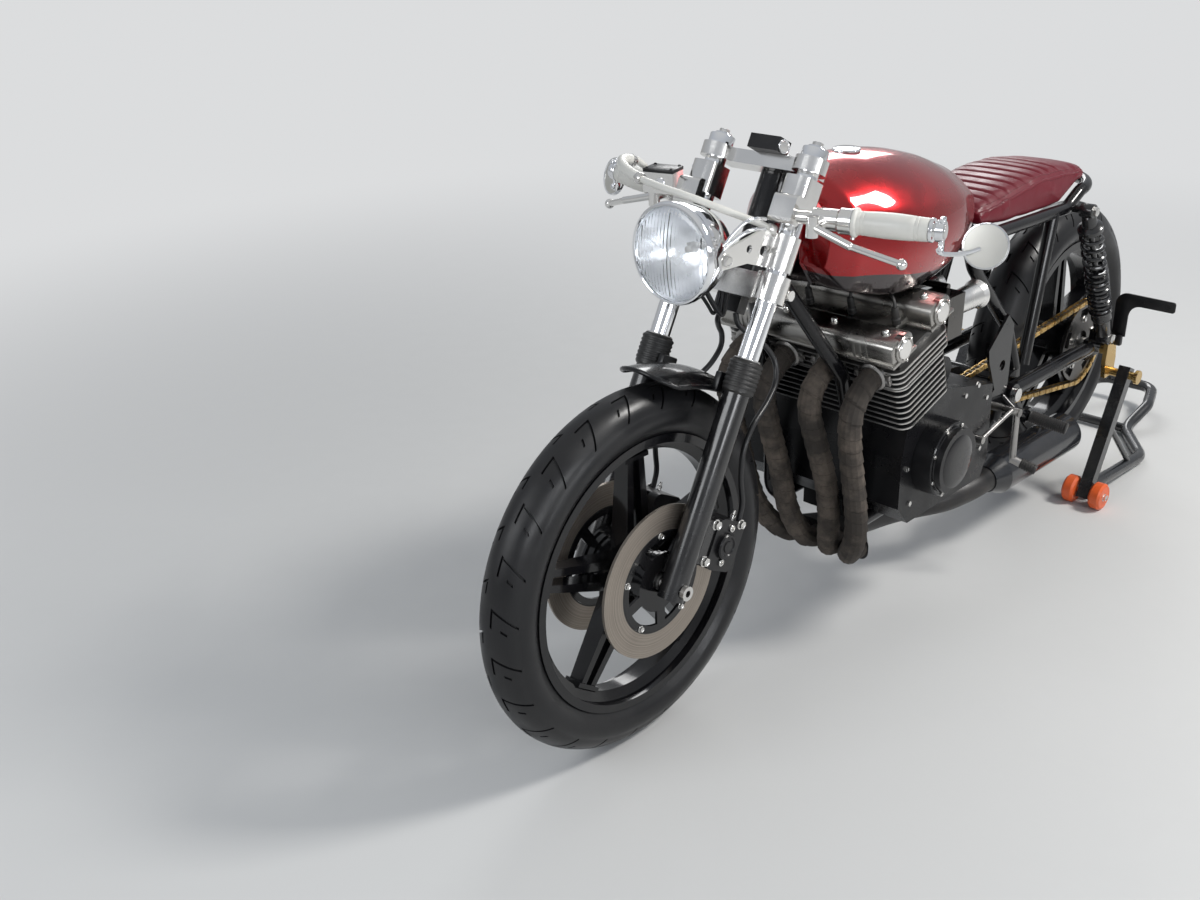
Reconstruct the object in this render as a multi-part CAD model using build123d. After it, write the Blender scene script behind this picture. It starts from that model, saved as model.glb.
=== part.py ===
from build123d import *
import math
import os

os.makedirs("parts", exist_ok=True)

# Cafe racer motorcycle held on a rear paddock stand.
# Sizes are in millimetres. While it is built, X runs forward from the rear axle,
# Y to the rider's left and Z up from the floor. save() then moves every piece so
# that the origin is the middle of the whole thing on the floor.

# Driving dimensions
WHEELBASE = 1515.0
TYRE_R_FRONT = 331.0
TYRE_R_REAR = 331.0
REAR_LIFT = 25.0
RAKE_DEG = 27.5
TRAIL = 115.0
FORK_Y = 98.0
STANCHION_R = 18.5
SLIDER_R = 23.5
FORK_LENGTH = 774.0
FIT = 0.3
RUN = 5.0

# Front wheel
TYRE_W_FRONT = 96.0
RIM_R_FRONT = 252.0
RIM_SEAT_FRONT = 241.3
RIM_W_FRONT = 66.0
DISC_R_FRONT = 138.5
DISC_INNER_FRONT = 92.0
DISC_Y_FRONT = 67.0
DISC_T = 5.0
HUB_R = 46.0
AXLE_R = 9.0
AXLE_BORE_R = 6.0
AXLE_BORE_DEEP = 55.0

# Rear wheel
TYRE_W_REAR = 120.0
RIM_R_REAR = 242.0
RIM_SEAT_REAR = 228.6
RIM_W_REAR = 90.0
DISC_R_REAR = 148.0
DISC_INNER_REAR = 100.0
DISC_Y_REAR = -84.0
CHAIN_Y = 86.0
SPROCKET_R = 103.0
SPROCKET_T = 7.0
FRONT_SPROCKET_R = 43.0
GEARBOX_X = 565.0
GEARBOX_Z = 385.0
CHAIN_H = 15.0
CHAIN_W = 20.0

# Frame
TUBE_R = 14.0
PIVOT_X = 440.0
PIVOT_Z = 368.0
RAIL_Y = 108.0
CRADLE_Y = 96.0
SWINGARM_Y = 128.0
SWINGARM_R = 18.0

# Engine
CRANK_X = 857.0
CRANK_Z = 377.0
CYLINDER_LEAN_DEG = 18.0
CASE_HALF_W = 190.0
BORE_PITCH = 96.0

# Stand
STAND_Y = 205.0
STAND_TUBE_R = 15.0
STAND_AXLE_X = 124.0
STAND_WHEEL_R = 33.0
STAND_WHEEL_W = 28.0
STAND_WHEEL_GAP = 67.0
STAND_PIN_X = -6.0
STAND_PIN_Z = 300.0
HANDLE_BACK_X = -575.0

# Worked out from the sizes above
REAR_AXLE_Z = TYRE_R_REAR + REAR_LIFT
RAKE = math.radians(RAKE_DEG)
RAKE_SIN = math.sin(RAKE)
RAKE_COS = math.cos(RAKE)
FORK_OFFSET = TYRE_R_FRONT * RAKE_SIN - TRAIL * RAKE_COS
ORIGIN_X = WHEELBASE - FORK_OFFSET * RAKE_COS
ORIGIN_Z = TYRE_R_FRONT - FORK_OFFSET * RAKE_SIN
CENTRE_X = (WHEELBASE + TYRE_R_FRONT + HANDLE_BACK_X - STAND_TUBE_R) / 2
LEAN = math.radians(CYLINDER_LEAN_DEG)

# Fork frame: x forward square to the fork, y left, z up along the fork, level with the axle at 0
FORK = Plane(
    origin=(ORIGIN_X, 0, ORIGIN_Z),
    x_dir=(RAKE_COS, 0, RAKE_SIN),
    z_dir=(-RAKE_SIN, 0, RAKE_COS),
)
# Cylinder frame: z up along the bores from the crankshaft, x forward
BORES = Plane(
    origin=(CRANK_X, 0, CRANK_Z),
    x_dir=(math.cos(LEAN), 0, -math.sin(LEAN)),
    z_dir=(math.sin(LEAN), 0, math.cos(LEAN)),
)

UP = (Align.CENTER, Align.CENTER, Align.MIN)
HOME = Pos(-CENTRE_X, 0, 0)


def save(name, *shapes):
    """Move finished solids to the common origin and write them as one node."""
    solids = []
    for shape in shapes:
        solids.extend((HOME * shape).solids())
    export_step(Compound(children=solids), f"parts/{name}.step")


def rod(start, end, radius):
    """A round bar between two points."""
    a = Vector(*start)
    b = Vector(*end)
    return Plane(origin=a, z_dir=b - a) * Cylinder(radius, (b - a).length, align=UP)


def cone(start, end, radius_a, radius_b):
    """A tapered round bar between two points."""
    a = Vector(*start)
    b = Vector(*end)
    return Plane(origin=a, z_dir=b - a) * Cone(radius_a, radius_b, (b - a).length, align=UP)


def bent(points, bend, radius):
    """A round tube along straight runs joined by arcs."""
    path = FilletPolyline(*[Vector(*point) for point in points], radius=bend)
    section = Plane(origin=path @ 0, z_dir=path % 0) * Circle(radius)
    return sweep(section, path=path)


def turned(points):
    """Turn an outline of (side, radius) points about the wheel's axle, which lies along Y."""
    outline = make_face(Polyline(*points, close=True))
    return Rot(0, 0, 90) * revolve(outline, Axis.X)


def across(radius, start_y, end_y, x=0.0, z=0.0):
    """A round bar along Y."""
    return rod((x, start_y, z), (x, end_y, z), radius)


def plate(points, y_low, y_high):
    """A flat plate with an outline of (x, z) points, as thick as its two Y values."""
    outline = make_face(Polyline(*[(x, 0, z) for x, z in points], close=True))
    return Pos(0, y_high, 0) * extrude(outline, y_high - y_low, dir=(0, -1, 0))


def mirrored(shape):
    """The same piece on the other side."""
    return mirror(shape, about=Plane.XZ)


def on_fork(shape):
    return FORK.location * shape


def on_bores(shape):
    return BORES.location * shape


def fork_point(x, y, z):
    """A point of the fork frame, in the bike's own axes."""
    return (
        ORIGIN_X + x * RAKE_COS - z * RAKE_SIN,
        y,
        ORIGIN_Z + x * RAKE_SIN + z * RAKE_COS,
    )


def bore_point(x, y, z):
    """A point of the cylinder frame, in the bike's own axes."""
    return (
        CRANK_X + x * math.cos(LEAN) + z * math.sin(LEAN),
        y,
        CRANK_Z - x * math.sin(LEAN) + z * math.cos(LEAN),
    )


# Wheels

TYRE_WALL = 9.0
RIM_T = 4.0
SPOKE_PAIRS = 5
SPOKE_T = 13.0


def tyre(radius, width, flange_r, seat_r, rim_w):
    """A hollow tyre whose beads sit inside the rim's flanges."""
    half = width / 2
    bead = rim_w / 2 - FIT
    shoulder_r = radius - 0.34 * width
    shoulder = half - 6
    belly_r = (shoulder_r + flange_r) / 2
    crown = ThreePointArc((shoulder, shoulder_r), (0, radius), (-shoulder, shoulder_r))
    left = ThreePointArc((shoulder, shoulder_r), (half, belly_r), (bead, flange_r + FIT))
    right = ThreePointArc((-shoulder, shoulder_r), (-half, belly_r), (-bead, flange_r + FIT))
    left_bead = Line((bead, flange_r + FIT), (bead, seat_r + FIT))
    right_bead = Line((-bead, flange_r + FIT), (-bead, seat_r + FIT))
    left_toe = Line((bead, seat_r + FIT), (bead - TYRE_WALL, seat_r + FIT))
    right_toe = Line((-bead, seat_r + FIT), (TYRE_WALL - bead, seat_r + FIT))
    inside = ThreePointArc(
        (bead - TYRE_WALL, seat_r + FIT),
        (0, radius - TYRE_WALL * 1.6),
        (TYRE_WALL - bead, seat_r + FIT),
    )
    outline = make_face([crown, left, right, left_bead, right_bead, left_toe, right_toe, inside])
    return Rot(0, 0, 90) * revolve(outline, Axis.X)


def rim(flange_r, seat_r, rim_w, well_half):
    """The rim's channel: two flanges, two bead seats and a well."""
    half = rim_w / 2
    well_r = seat_r - 16
    right = [
        (half + RIM_T, flange_r),
        (half, flange_r),
        (half, seat_r),
        (well_half + 9, seat_r),
        (well_half, well_r),
    ]
    under = [
        (well_half + 3, well_r - RIM_T - 1),
        (well_half + 12, seat_r - RIM_T),
        (half + RIM_T, seat_r - RIM_T),
    ]
    top = right + [(-side, radius) for side, radius in reversed(right)]
    bottom = [(-side, radius) for side, radius in reversed(under)] + under
    return turned(top + bottom)


def spokes(rim_inner_r, hub_half, rim_half, hub_spread_deg, foot_half):
    """Five pairs of narrow spokes, each pair joined by a foot at the rim."""
    pair = None
    reach = HUB_R - 4
    for side in (-1, 1):
        angle = math.radians(hub_spread_deg) * side
        root = (reach * math.sin(angle), reach * math.cos(angle))
        tip = (foot_half * side, rim_inner_r - 3)
        length = math.hypot(tip[0] - root[0], tip[1] - root[1])
        turn = math.degrees(math.atan2(tip[0] - root[0], tip[1] - root[1]))
        bar = Pos(root[0], 0, root[1]) * Rot(0, turn, 0) * loft(
            [
                Rectangle(SPOKE_T + 4, hub_half * 2),
                Pos(0, 0, length) * Rectangle(SPOKE_T, rim_half * 2),
            ]
        )
        pair = bar if pair is None else pair + bar
    foot = Pos(0, 0, rim_inner_r - 5) * Box(foot_half * 2 + 30, rim_half * 2 + 6, 8)
    pair = pair + foot
    star = None
    for index in range(SPOKE_PAIRS):
        copy = Rot(0, index * 360 / SPOKE_PAIRS, 0) * pair
        star = copy if star is None else star + copy
    return star


def disc(outer_r, inner_r, y):
    """A flat brake disc ring."""
    low = y - DISC_T / 2
    return across(outer_r, low, low + DISC_T) - across(inner_r, low - 1, low + DISC_T + 1)


def carrier(y, outer_r, inner_r, thick):
    """A five-armed spider that holds a disc ring at its inner edge."""
    low = y - thick / 2
    ring = across(outer_r, low, low + thick) - across(outer_r - 12, low - 1, low + thick + 1)
    boss = across(inner_r + 14, low, low + thick)
    spider = ring + boss
    for index in range(SPOKE_PAIRS):
        arm = Pos(0, y, (outer_r + inner_r) / 2) * Box(20, thick, outer_r - inner_r - 12)
        spider = spider + Rot(0, 36 + index * 360 / SPOKE_PAIRS, 0) * arm
    return spider


FRONT_HUB_HALF = 52.0
REAR_HUB_HALF = 60.0


def front_wheel():
    wheel = rim(RIM_R_FRONT, RIM_SEAT_FRONT, RIM_W_FRONT, 10)
    wheel = wheel + spokes(RIM_SEAT_FRONT - 21, 20, 14, 30, 13)
    wheel = wheel + across(HUB_R, -FRONT_HUB_HALF, FRONT_HUB_HALF)
    for side in (-1, 1):
        y = side * DISC_Y_FRONT
        wheel = wheel + carrier(y, DISC_INNER_FRONT - FIT, 40, DISC_T)
        reach = side * (DISC_Y_FRONT - DISC_T / 2)
        wheel = wheel + across(50, side * (FRONT_HUB_HALF - 2), reach)
    wheel = wheel - across(AXLE_R + FIT, -120, 120)
    wheel = wheel - across(18, FRONT_HUB_HALF + FIT, 120) - across(18, -120, -FRONT_HUB_HALF - FIT)
    rings = [disc(DISC_R_FRONT, DISC_INNER_FRONT, side * DISC_Y_FRONT) for side in (-1, 1)]
    rubber = tyre(TYRE_R_FRONT, TYRE_W_FRONT, RIM_R_FRONT, RIM_SEAT_FRONT, RIM_W_FRONT)
    place = Pos(WHEELBASE, 0, TYRE_R_FRONT)
    save("front_wheel", place * wheel)
    save("front_discs", *[place * ring for ring in rings])
    save("front_tyre", place * rubber)


def rear_wheel():
    wheel = rim(RIM_R_REAR, RIM_SEAT_REAR, RIM_W_REAR, 16)
    wheel = wheel + spokes(RIM_SEAT_REAR - 21, 24, 18, 30, 13)
    wheel = wheel + across(HUB_R + 6, -REAR_HUB_HALF, REAR_HUB_HALF)
    wheel = wheel + carrier(DISC_Y_REAR, DISC_INNER_REAR - FIT, 40, DISC_T)
    wheel = wheel + across(50, -REAR_HUB_HALF + 2, DISC_Y_REAR + DISC_T / 2)
    sprocket_low = CHAIN_Y - SPROCKET_T / 2
    wheel = wheel + across(62, REAR_HUB_HALF - 2, sprocket_low - FIT)
    wheel = wheel - across(AXLE_R + FIT, -140, 140)
    cog = across(SPROCKET_R - CHAIN_H / 2 - FIT, sprocket_low, sprocket_low + SPROCKET_T)
    cog = cog - across(30, sprocket_low - 1, sprocket_low + SPROCKET_T + 1)
    for index in range(SPOKE_PAIRS):
        slot = Pos(0, CHAIN_Y, 76) * Box(38, 20, 20)
        cog = cog - Rot(0, index * 360 / SPOKE_PAIRS, 0) * slot
    place = Pos(0, 0, REAR_AXLE_Z)
    save("rear_wheel", place * wheel)
    save("rear_disc", place * disc(DISC_R_REAR, DISC_INNER_REAR, DISC_Y_REAR))
    save("rear_sprocket", place * cog)
    rubber = tyre(TYRE_R_REAR, TYRE_W_REAR, RIM_R_REAR, RIM_SEAT_REAR, RIM_W_REAR)
    save("rear_tyre", place * rubber)


# Front end, all in the fork frame

CALIPER_X = -46.0
CALIPER_Z = 86.0
CALIPER_WIDE = 78.0
CALIPER_TALL = 92.0
CALIPER_DEEP = 68.0
LUG_T = 12.0
LUG_TALL = 78.0
LUG_WIDE = 46.0
LUG_X = 5 - SLIDER_R - LUG_WIDE / 2
BOLT_X = -3.0
BOLT_RISE = 33.0
SEAL_LOW = 345.0
SEAL_HIGH = 395.0
LOWER_CLAMP = (500.0, 545.0)
EAR = (553.0, 612.0)
CLIP_ON = (654.0, 708.0)
TOP_CLAMP = (720.0, 744.0)
STEM_R = 12.0
HEAD_TUBE_R = 27.0


def fork():
    tubes = []
    sliders = []
    foot_z = -20.0
    for side in (-1, 1):
        place = Pos(FORK_OFFSET, side * FORK_Y, 0)
        stanchion = Pos(0, 0, 60) * Cylinder(STANCHION_R, FORK_LENGTH - 72, align=UP)
        cap = Pos(0, 0, FORK_LENGTH - 12) * Cylinder(STANCHION_R - 1, 12, align=UP)
        tubes.append(place * (stanchion + cap))
        leg = Pos(0, 0, foot_z) * Cylinder(SLIDER_R, SEAL_LOW - foot_z, align=UP)
        leg = leg + Pos(0, 0, SEAL_LOW) * Cylinder(SLIDER_R + 3.5, SEAL_HIGH - SEAL_LOW, align=UP)
        leg = leg + Pos(LUG_X, 0, CALIPER_Z) * Box(LUG_WIDE, LUG_T, LUG_TALL)
        leg = leg - Rot(90, 0, 0) * Cylinder(AXLE_R + FIT, 80)
        leg = leg - Pos(0, 0, 60 - FIT) * Cylinder(STANCHION_R + FIT, FORK_LENGTH, align=UP)
        sliders.append(place * leg)
    save("fork_tubes", *[on_fork(tube) for tube in tubes])
    save("fork_sliders", *[on_fork(slider) for slider in sliders])
    face = FORK_Y + SLIDER_R + FIT
    end = face + 8
    axle = across(AXLE_R, -face, face)
    for side in (-1, 1):
        inner = side * (FRONT_HUB_HALF + FIT * 2)
        outer = side * (FORK_Y - SLIDER_R - FIT)
        axle = axle + across(15, inner, outer)
        axle = axle + across(13, side * face, side * end)
    for side in (-1, 1):
        axle = axle - across(AXLE_BORE_R, side * (end - AXLE_BORE_DEEP), side * (end + 1))
    save("front_axle", Pos(WHEELBASE, 0, TYRE_R_FRONT) * axle)


def clamp_slab(low, high, nose, tail):
    """A fork clamp seen from above: two rings joined by a waisted bridge."""
    tall = high - low
    slab = Pos(FORK_OFFSET / 2, 0, low) * Box(nose + tail, FORK_Y * 2, tall, align=UP)
    for side in (-1, 1):
        slab = slab + Pos(FORK_OFFSET, side * FORK_Y, low) * Cylinder(29, tall, align=UP)
    slab = slab + Pos(0, 0, low) * Cylinder(30, tall, align=UP)
    for side in (-1, 1):
        hole = Pos(FORK_OFFSET, side * FORK_Y, low - 1) * Cylinder(
            STANCHION_R + FIT, tall + 2, align=UP
        )
        slab = slab - hole
    return slab


def clamps():
    lower = clamp_slab(*LOWER_CLAMP, 26, 26)
    stem_top = TOP_CLAMP[1] + 14
    lower = lower + Pos(0, 0, LOWER_CLAMP[0]) * Cylinder(STEM_R, stem_top - LOWER_CLAMP[0], align=UP)
    for side in (-1, 1):
        bolt = Pos(FORK_OFFSET - 29, side * (FORK_Y + 2), LOWER_CLAMP[0] + 22)
        lower = lower + bolt * Rot(90, 0, 0) * Cylinder(9, 44)
    for side in (-1, 1):
        lower = lower - Pos(FORK_OFFSET, side * FORK_Y, LOWER_CLAMP[0] - 1) * Cylinder(
            STANCHION_R + FIT, 60, align=UP
        )
    top = clamp_slab(*TOP_CLAMP, 24, 24)
    top = top - Pos(0, 0, TOP_CLAMP[0] - 1) * Cylinder(STEM_R + FIT, 60, align=UP)
    nut = Pos(0, 0, TOP_CLAMP[1] + FIT) * Cylinder(17, 12, align=UP)
    nut = nut - Pos(0, 0, TOP_CLAMP[1]) * Cylinder(STEM_R + FIT, 40, align=UP)
    gauge = Pos(FORK_OFFSET + 4, 6, TOP_CLAMP[1] + FIT) * Box(34, 62, 24, align=UP)
    save("lower_clamp", on_fork(lower))
    save("top_clamp", on_fork(top), on_fork(nut))
    save("gauge", on_fork(gauge))


LAMP_X = 1415.0
LAMP_Z = 865.0
LAMP_R = 85.0
LAMP_DEEP = 118.0


def headlight():
    """A turned bowl with its rim and cable hole, and a domed lens in front of it."""
    wall = 3.0
    gland_r = 9.0
    seat_r = LAMP_R - 7.0
    lip = LAMP_DEEP - 14
    bowl_face = make_face(
        [
            ThreePointArc((2, gland_r), (35, 60), (lip, LAMP_R)),
            Line((lip, LAMP_R), (LAMP_DEEP, LAMP_R - 2)),
            Line((LAMP_DEEP, LAMP_R - 2), (LAMP_DEEP, seat_r)),
            Line((LAMP_DEEP, seat_r), (lip, seat_r)),
            ThreePointArc((lip, seat_r), (35 + wall, 60 - wall), (2 + wall, gland_r)),
            Line((2 + wall, gland_r), (2, gland_r)),
        ]
    )
    bowl = revolve(bowl_face, Axis.X)
    glass_r = seat_r - FIT
    dome = make_face(
        [
            Line((LAMP_DEEP - 8, 0), (LAMP_DEEP + 8, 0)),
            ThreePointArc((LAMP_DEEP + 8, 0), (LAMP_DEEP + 5, 45), (LAMP_DEEP - 3, glass_r)),
            Line((LAMP_DEEP - 3, glass_r), (LAMP_DEEP - 8, glass_r)),
            Line((LAMP_DEEP - 8, glass_r), (LAMP_DEEP - 8, 0)),
        ]
    )
    lens = revolve(dome, Axis.X)
    place = Pos(LAMP_X - LAMP_DEEP, 0, LAMP_Z)
    save("headlight", place * bowl)
    save("headlight_lens", place * lens)


def lamp_in_fork(x, z):
    """A point of the bike's side view, in the fork frame."""
    dx = x - ORIGIN_X
    dz = z - ORIGIN_Z
    return (dx * RAKE_COS + dz * RAKE_SIN, dz * RAKE_COS - dx * RAKE_SIN)


def headlight_ears():
    """Drilled plates from rings on the fork tubes to the headlight's sides."""
    bolt_x, bolt_z = lamp_in_fork(LAMP_X - 30, LAMP_Z)
    face = FORK_OFFSET + STANCHION_R
    ears = []
    for side in (-1, 1):
        inner = LAMP_R + FIT
        outline = [
            (face - 2, EAR[0]),
            (face - 2, EAR[1]),
            (face + 42, EAR[1] - 6),
            (bolt_x + 8, bolt_z + 15),
            (bolt_x + 14, bolt_z),
            (bolt_x, bolt_z - 16),
            (face + 55, EAR[0] - 8),
        ]
        low, high = (inner, inner + 5) if side > 0 else (-inner - 5, -inner)
        ear = plate(outline, low, high)
        ring = Pos(FORK_OFFSET, side * FORK_Y, EAR[0]) * Cylinder(24, EAR[1] - EAR[0], align=UP)
        ear = ear + ring
        ear = ear - Pos(FORK_OFFSET, side * FORK_Y, EAR[0] - 1) * Cylinder(
            STANCHION_R + FIT, 80, align=UP
        )
        for hole_x, hole_z, hole_r in ((face + 24, EAR[0] + 22, 9), (face + 62, EAR[0] + 14, 7)):
            ear = ear - across(hole_r, -120, 120, hole_x, hole_z)
        ears.append(on_fork(ear))
    save("headlight_ears", *ears)


BAR_R = 11.1
GRIP_R = 18.0
HOUSING_R = 21.0
GRIP_INNER = (1214.0, 212.0, 913.0)
GRIP_OUTER = (1177.0, 337.0, 913.0)


def along_bar(y, side=1):
    """A point on the handlebar's centre line at a distance from the middle."""
    share = (y - GRIP_INNER[1]) / (GRIP_OUTER[1] - GRIP_INNER[1])
    x = GRIP_INNER[0] + share * (GRIP_OUTER[0] - GRIP_INNER[0])
    return (x, side * y, GRIP_INNER[2])


def handlebars():
    bars = []
    grips = []
    mirrors = []
    for side in (-1, 1):
        clamp = Pos(FORK_OFFSET + 4, side * FORK_Y, CLIP_ON[0]) * Box(
            62, 50, CLIP_ON[1] - CLIP_ON[0], align=UP
        )
        clamp = fillet(clamp.edges().filter_by(Axis.Z), 16)
        boss = Pos(FORK_OFFSET + 34, side * (FORK_Y + 4), CLIP_ON[0] - 28) * Box(26, 46, 48, align=UP)
        clamp = clamp + fillet(boss.edges().filter_by(Axis.Y), 8)
        clamp = clamp - Pos(FORK_OFFSET, side * FORK_Y, CLIP_ON[0] - 1) * Cylinder(
            STANCHION_R + FIT, 80, align=UP
        )
        clamp = on_fork(clamp)
        tube = rod(along_bar(FORK_Y + 18, side), along_bar(352, side), BAR_R)
        bars.append(clamp + tube)
        grip = rod(along_bar(GRIP_INNER[1], side), along_bar(GRIP_OUTER[1], side), GRIP_R)
        grip = grip + rod(along_bar(GRIP_INNER[1], side), along_bar(GRIP_INNER[1] + 5, side), 22)
        grip = grip - rod(along_bar(180, side), along_bar(370, side), BAR_R + FIT)
        grips.append(grip)
        collar = rod(along_bar(GRIP_OUTER[1] + 1, side), along_bar(350, side), 17)
        collar = collar - rod(along_bar(320, side), along_bar(370, side), BAR_R + FIT)
        arm_start = Vector(*along_bar(346, side)) + Vector(0, 0, -15)
        arm_low = arm_start + Vector(0, 0, -22)
        arm_out = Vector(1142, side * 372, 874)
        arm = rod(arm_start, arm_low, 5) + rod(arm_low, arm_out, 4)
        arm = arm + Plane(origin=arm_low) * Sphere(6)
        dish_centre = Vector(1127, side * 396, 888)
        arm = arm + rod(arm_out, dish_centre, 4) + Plane(origin=arm_out) * Sphere(5)
        facing = Vector(0.92, side * 0.30, 0.25)
        dish = Plane(origin=dish_centre, z_dir=facing) * Cylinder(36, 9)
        mirrors.append(collar + arm + dish)
    save("handlebars", *bars)
    save("grips", *grips)
    save("mirrors", *mirrors)


# The throttle cable leaves its housing forwards and up
SPOUT_WAY = Vector(0.6, -0.1, 0.79).normalized()
SPOUT_END = Vector(*along_bar(202, -1)) + SPOUT_WAY * 30


def switch_housings():
    """The round housings at each grip's inner end; the right one holds the throttle drum."""
    pieces = []
    for side in (-1, 1):
        ring = rod(along_bar(191, side), along_bar(GRIP_INNER[1] - 1, side), HOUSING_R)
        if side < 0:
            ring = ring + rod(along_bar(202, side), SPOUT_END, 9)
        pieces.append(ring - rod(along_bar(180, side), along_bar(230, side), BAR_R + FIT))
    save("switch_housings", *pieces)


def levers():
    """Clutch lever on the left, brake lever and its fluid box on the right."""
    for side, name in ((1, "clutch_lever"), (-1, "brake_lever")):
        ring = rod(along_bar(148, side), along_bar(188, side), 18)
        base = Vector(*along_bar(168, side))
        root = base + Vector(38, 0, -4)
        body = ring + rod(base + Vector(12, 0, -2), root, 11)
        body = body + rod(root + Vector(0, 0, -17), root + Vector(0, 0, 17), 10)
        if side < 0:
            body = body + Pos(*(base + Vector(26, 10, 22))) * Rot(0, 0, 16.5) * Box(44, 56, 36)
        body = body - rod(along_bar(100, side), along_bar(230, side), BAR_R + FIT)
        mid = Vector(1266, side * 240, 890)
        tip = Vector(1229, side * 312, 866)
        body = body + rod(root, mid, 6.5) + rod(mid, tip, 5.5)
        body = body + Pos(*mid) * Sphere(6.5) + Pos(*tip) * Sphere(9)
        save(name, body)


FENDER_R = 362.0
FENDER_T = 3.0
FENDER_HALF = 62.0
FENDER_BACK_DEG = 130.0
FENDER_SWEEP = 37.0
TAB_Z = 352.0


def front_fender():
    """A short arched guard over the tyre, hung between the fork legs."""
    edge_r = FENDER_R - 22
    inner_r = FENDER_R - FENDER_T
    face = make_face(
        [
            ThreePointArc((-FENDER_HALF, edge_r), (0, FENDER_R), (FENDER_HALF, edge_r)),
            Line((FENDER_HALF, edge_r), (FENDER_HALF - FENDER_T, edge_r)),
            ThreePointArc(
                (FENDER_HALF - FENDER_T, edge_r), (0, inner_r), (FENDER_T - FENDER_HALF, edge_r)
            ),
            Line((FENDER_T - FENDER_HALF, edge_r), (-FENDER_HALF, edge_r)),
        ]
    )
    face = Rot(180 - FENDER_BACK_DEG, 0, 0) * face
    guard = Rot(0, 0, 90) * revolve(face, Axis.X, revolution_arc=FENDER_SWEEP)
    guard = Pos(WHEELBASE, 0, TYRE_R_FRONT) * guard
    for side in (-1, 1):
        outer = FORK_Y - SLIDER_R - 4
        inner = FENDER_HALF - 5
        tab = Pos(FORK_OFFSET, side * (outer + inner) / 2, TAB_Z) * Box(40, outer - inner, 34)
        guard = guard + on_fork(tab)
    save("front_fender", guard)


def calipers():
    """Two-part brake calipers behind the fork legs, open along the disc."""
    pieces = []
    for side in (-1, 1):
        block = Box(CALIPER_WIDE, CALIPER_DEEP, CALIPER_TALL)
        block = fillet(block.edges().filter_by(Axis.Y), 16)
        block = Pos(CALIPER_X, side * (DISC_Y_FRONT + 6), CALIPER_Z) * block
        lug_face = FORK_Y - LUG_T / 2 - FIT
        ear_half = (lug_face - DISC_Y_FRONT - DISC_T / 2) / 2
        for rise in (-BOLT_RISE, BOLT_RISE):
            ear = Rot(90, 0, 0) * Cylinder(11, ear_half * 2)
            block = block + Pos(BOLT_X, side * (lug_face - ear_half), CALIPER_Z + rise) * ear
        slot = Pos(FORK_OFFSET, side * DISC_Y_FRONT, 0) * Rot(90, 0, 0) * Cylinder(
            DISC_R_FRONT + RUN, DISC_T + RUN * 2
        )
        lug_room = Pos(FORK_OFFSET + LUG_X, side * FORK_Y, CALIPER_Z) * Box(
            LUG_WIDE + FIT * 2, LUG_T + FIT * 2, LUG_TALL + FIT * 2
        )
        pieces.append(on_fork(block - slot - lug_room))
    save("front_calipers", *pieces)


# Frame

BACKBONE_R = 19.0
HEAD_LOW = LOWER_CLAMP[1] + 0.5
HEAD_HIGH = TOP_CLAMP[0] - 0.5
HEAD_BORE_R = 20.0
CROSS_X = 640.0
CROSS_Z = 737.0
CRADLE_Z = 236.0
CRADLE_BACK_X = 560.0
PAD_Y = 101.0
PAD_T = 8.0
PAD_TUBE_Y = 118.0
STRUT_Y = PAD_Y + PAD_T + TUBE_R + 1.3
RAIL_FRONT_Z = 743.0
RAIL_KICK_Z = 731.0
KICK_X = 222.0
HOOP_X = 160.0
HOOP_Z = 762.0
HOOP_BACK_X = 66.0
HOOP_BACK_Z = 772.0
HOOP_R = 90.0
RAIL_FRONT_X = CROSS_X - TUBE_R
RAIL_SLOPE = (RAIL_FRONT_Z - RAIL_KICK_Z) / (RAIL_FRONT_X - KICK_X)
BACKBONE_TOP = fork_point(-10, 0, 672)
BACKBONE_SLOPE = (BACKBONE_TOP[2] - CROSS_Z) / (BACKBONE_TOP[0] - CROSS_X)
TUNNEL_HALF = 28.0


def backbone_z(x):
    """Height of the backbone's centre line."""
    return CROSS_Z + (x - CROSS_X) * BACKBONE_SLOPE


def rail_z(x):
    """Height of the seat rail's centre line along its straight part."""
    return RAIL_KICK_Z + (x - KICK_X) * RAIL_SLOPE


def side_post(side, radius):
    """The tube from under the tank's tail down to the swingarm pivot."""
    return bent(
        [
            (CROSS_X, side * RAIL_Y, CROSS_Z),
            (612, side * RAIL_Y, 684),
            (440, side * 110, 515),
            (402, side * PAD_TUBE_Y, 414),
        ],
        [60, 70],
        radius,
    )


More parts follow.
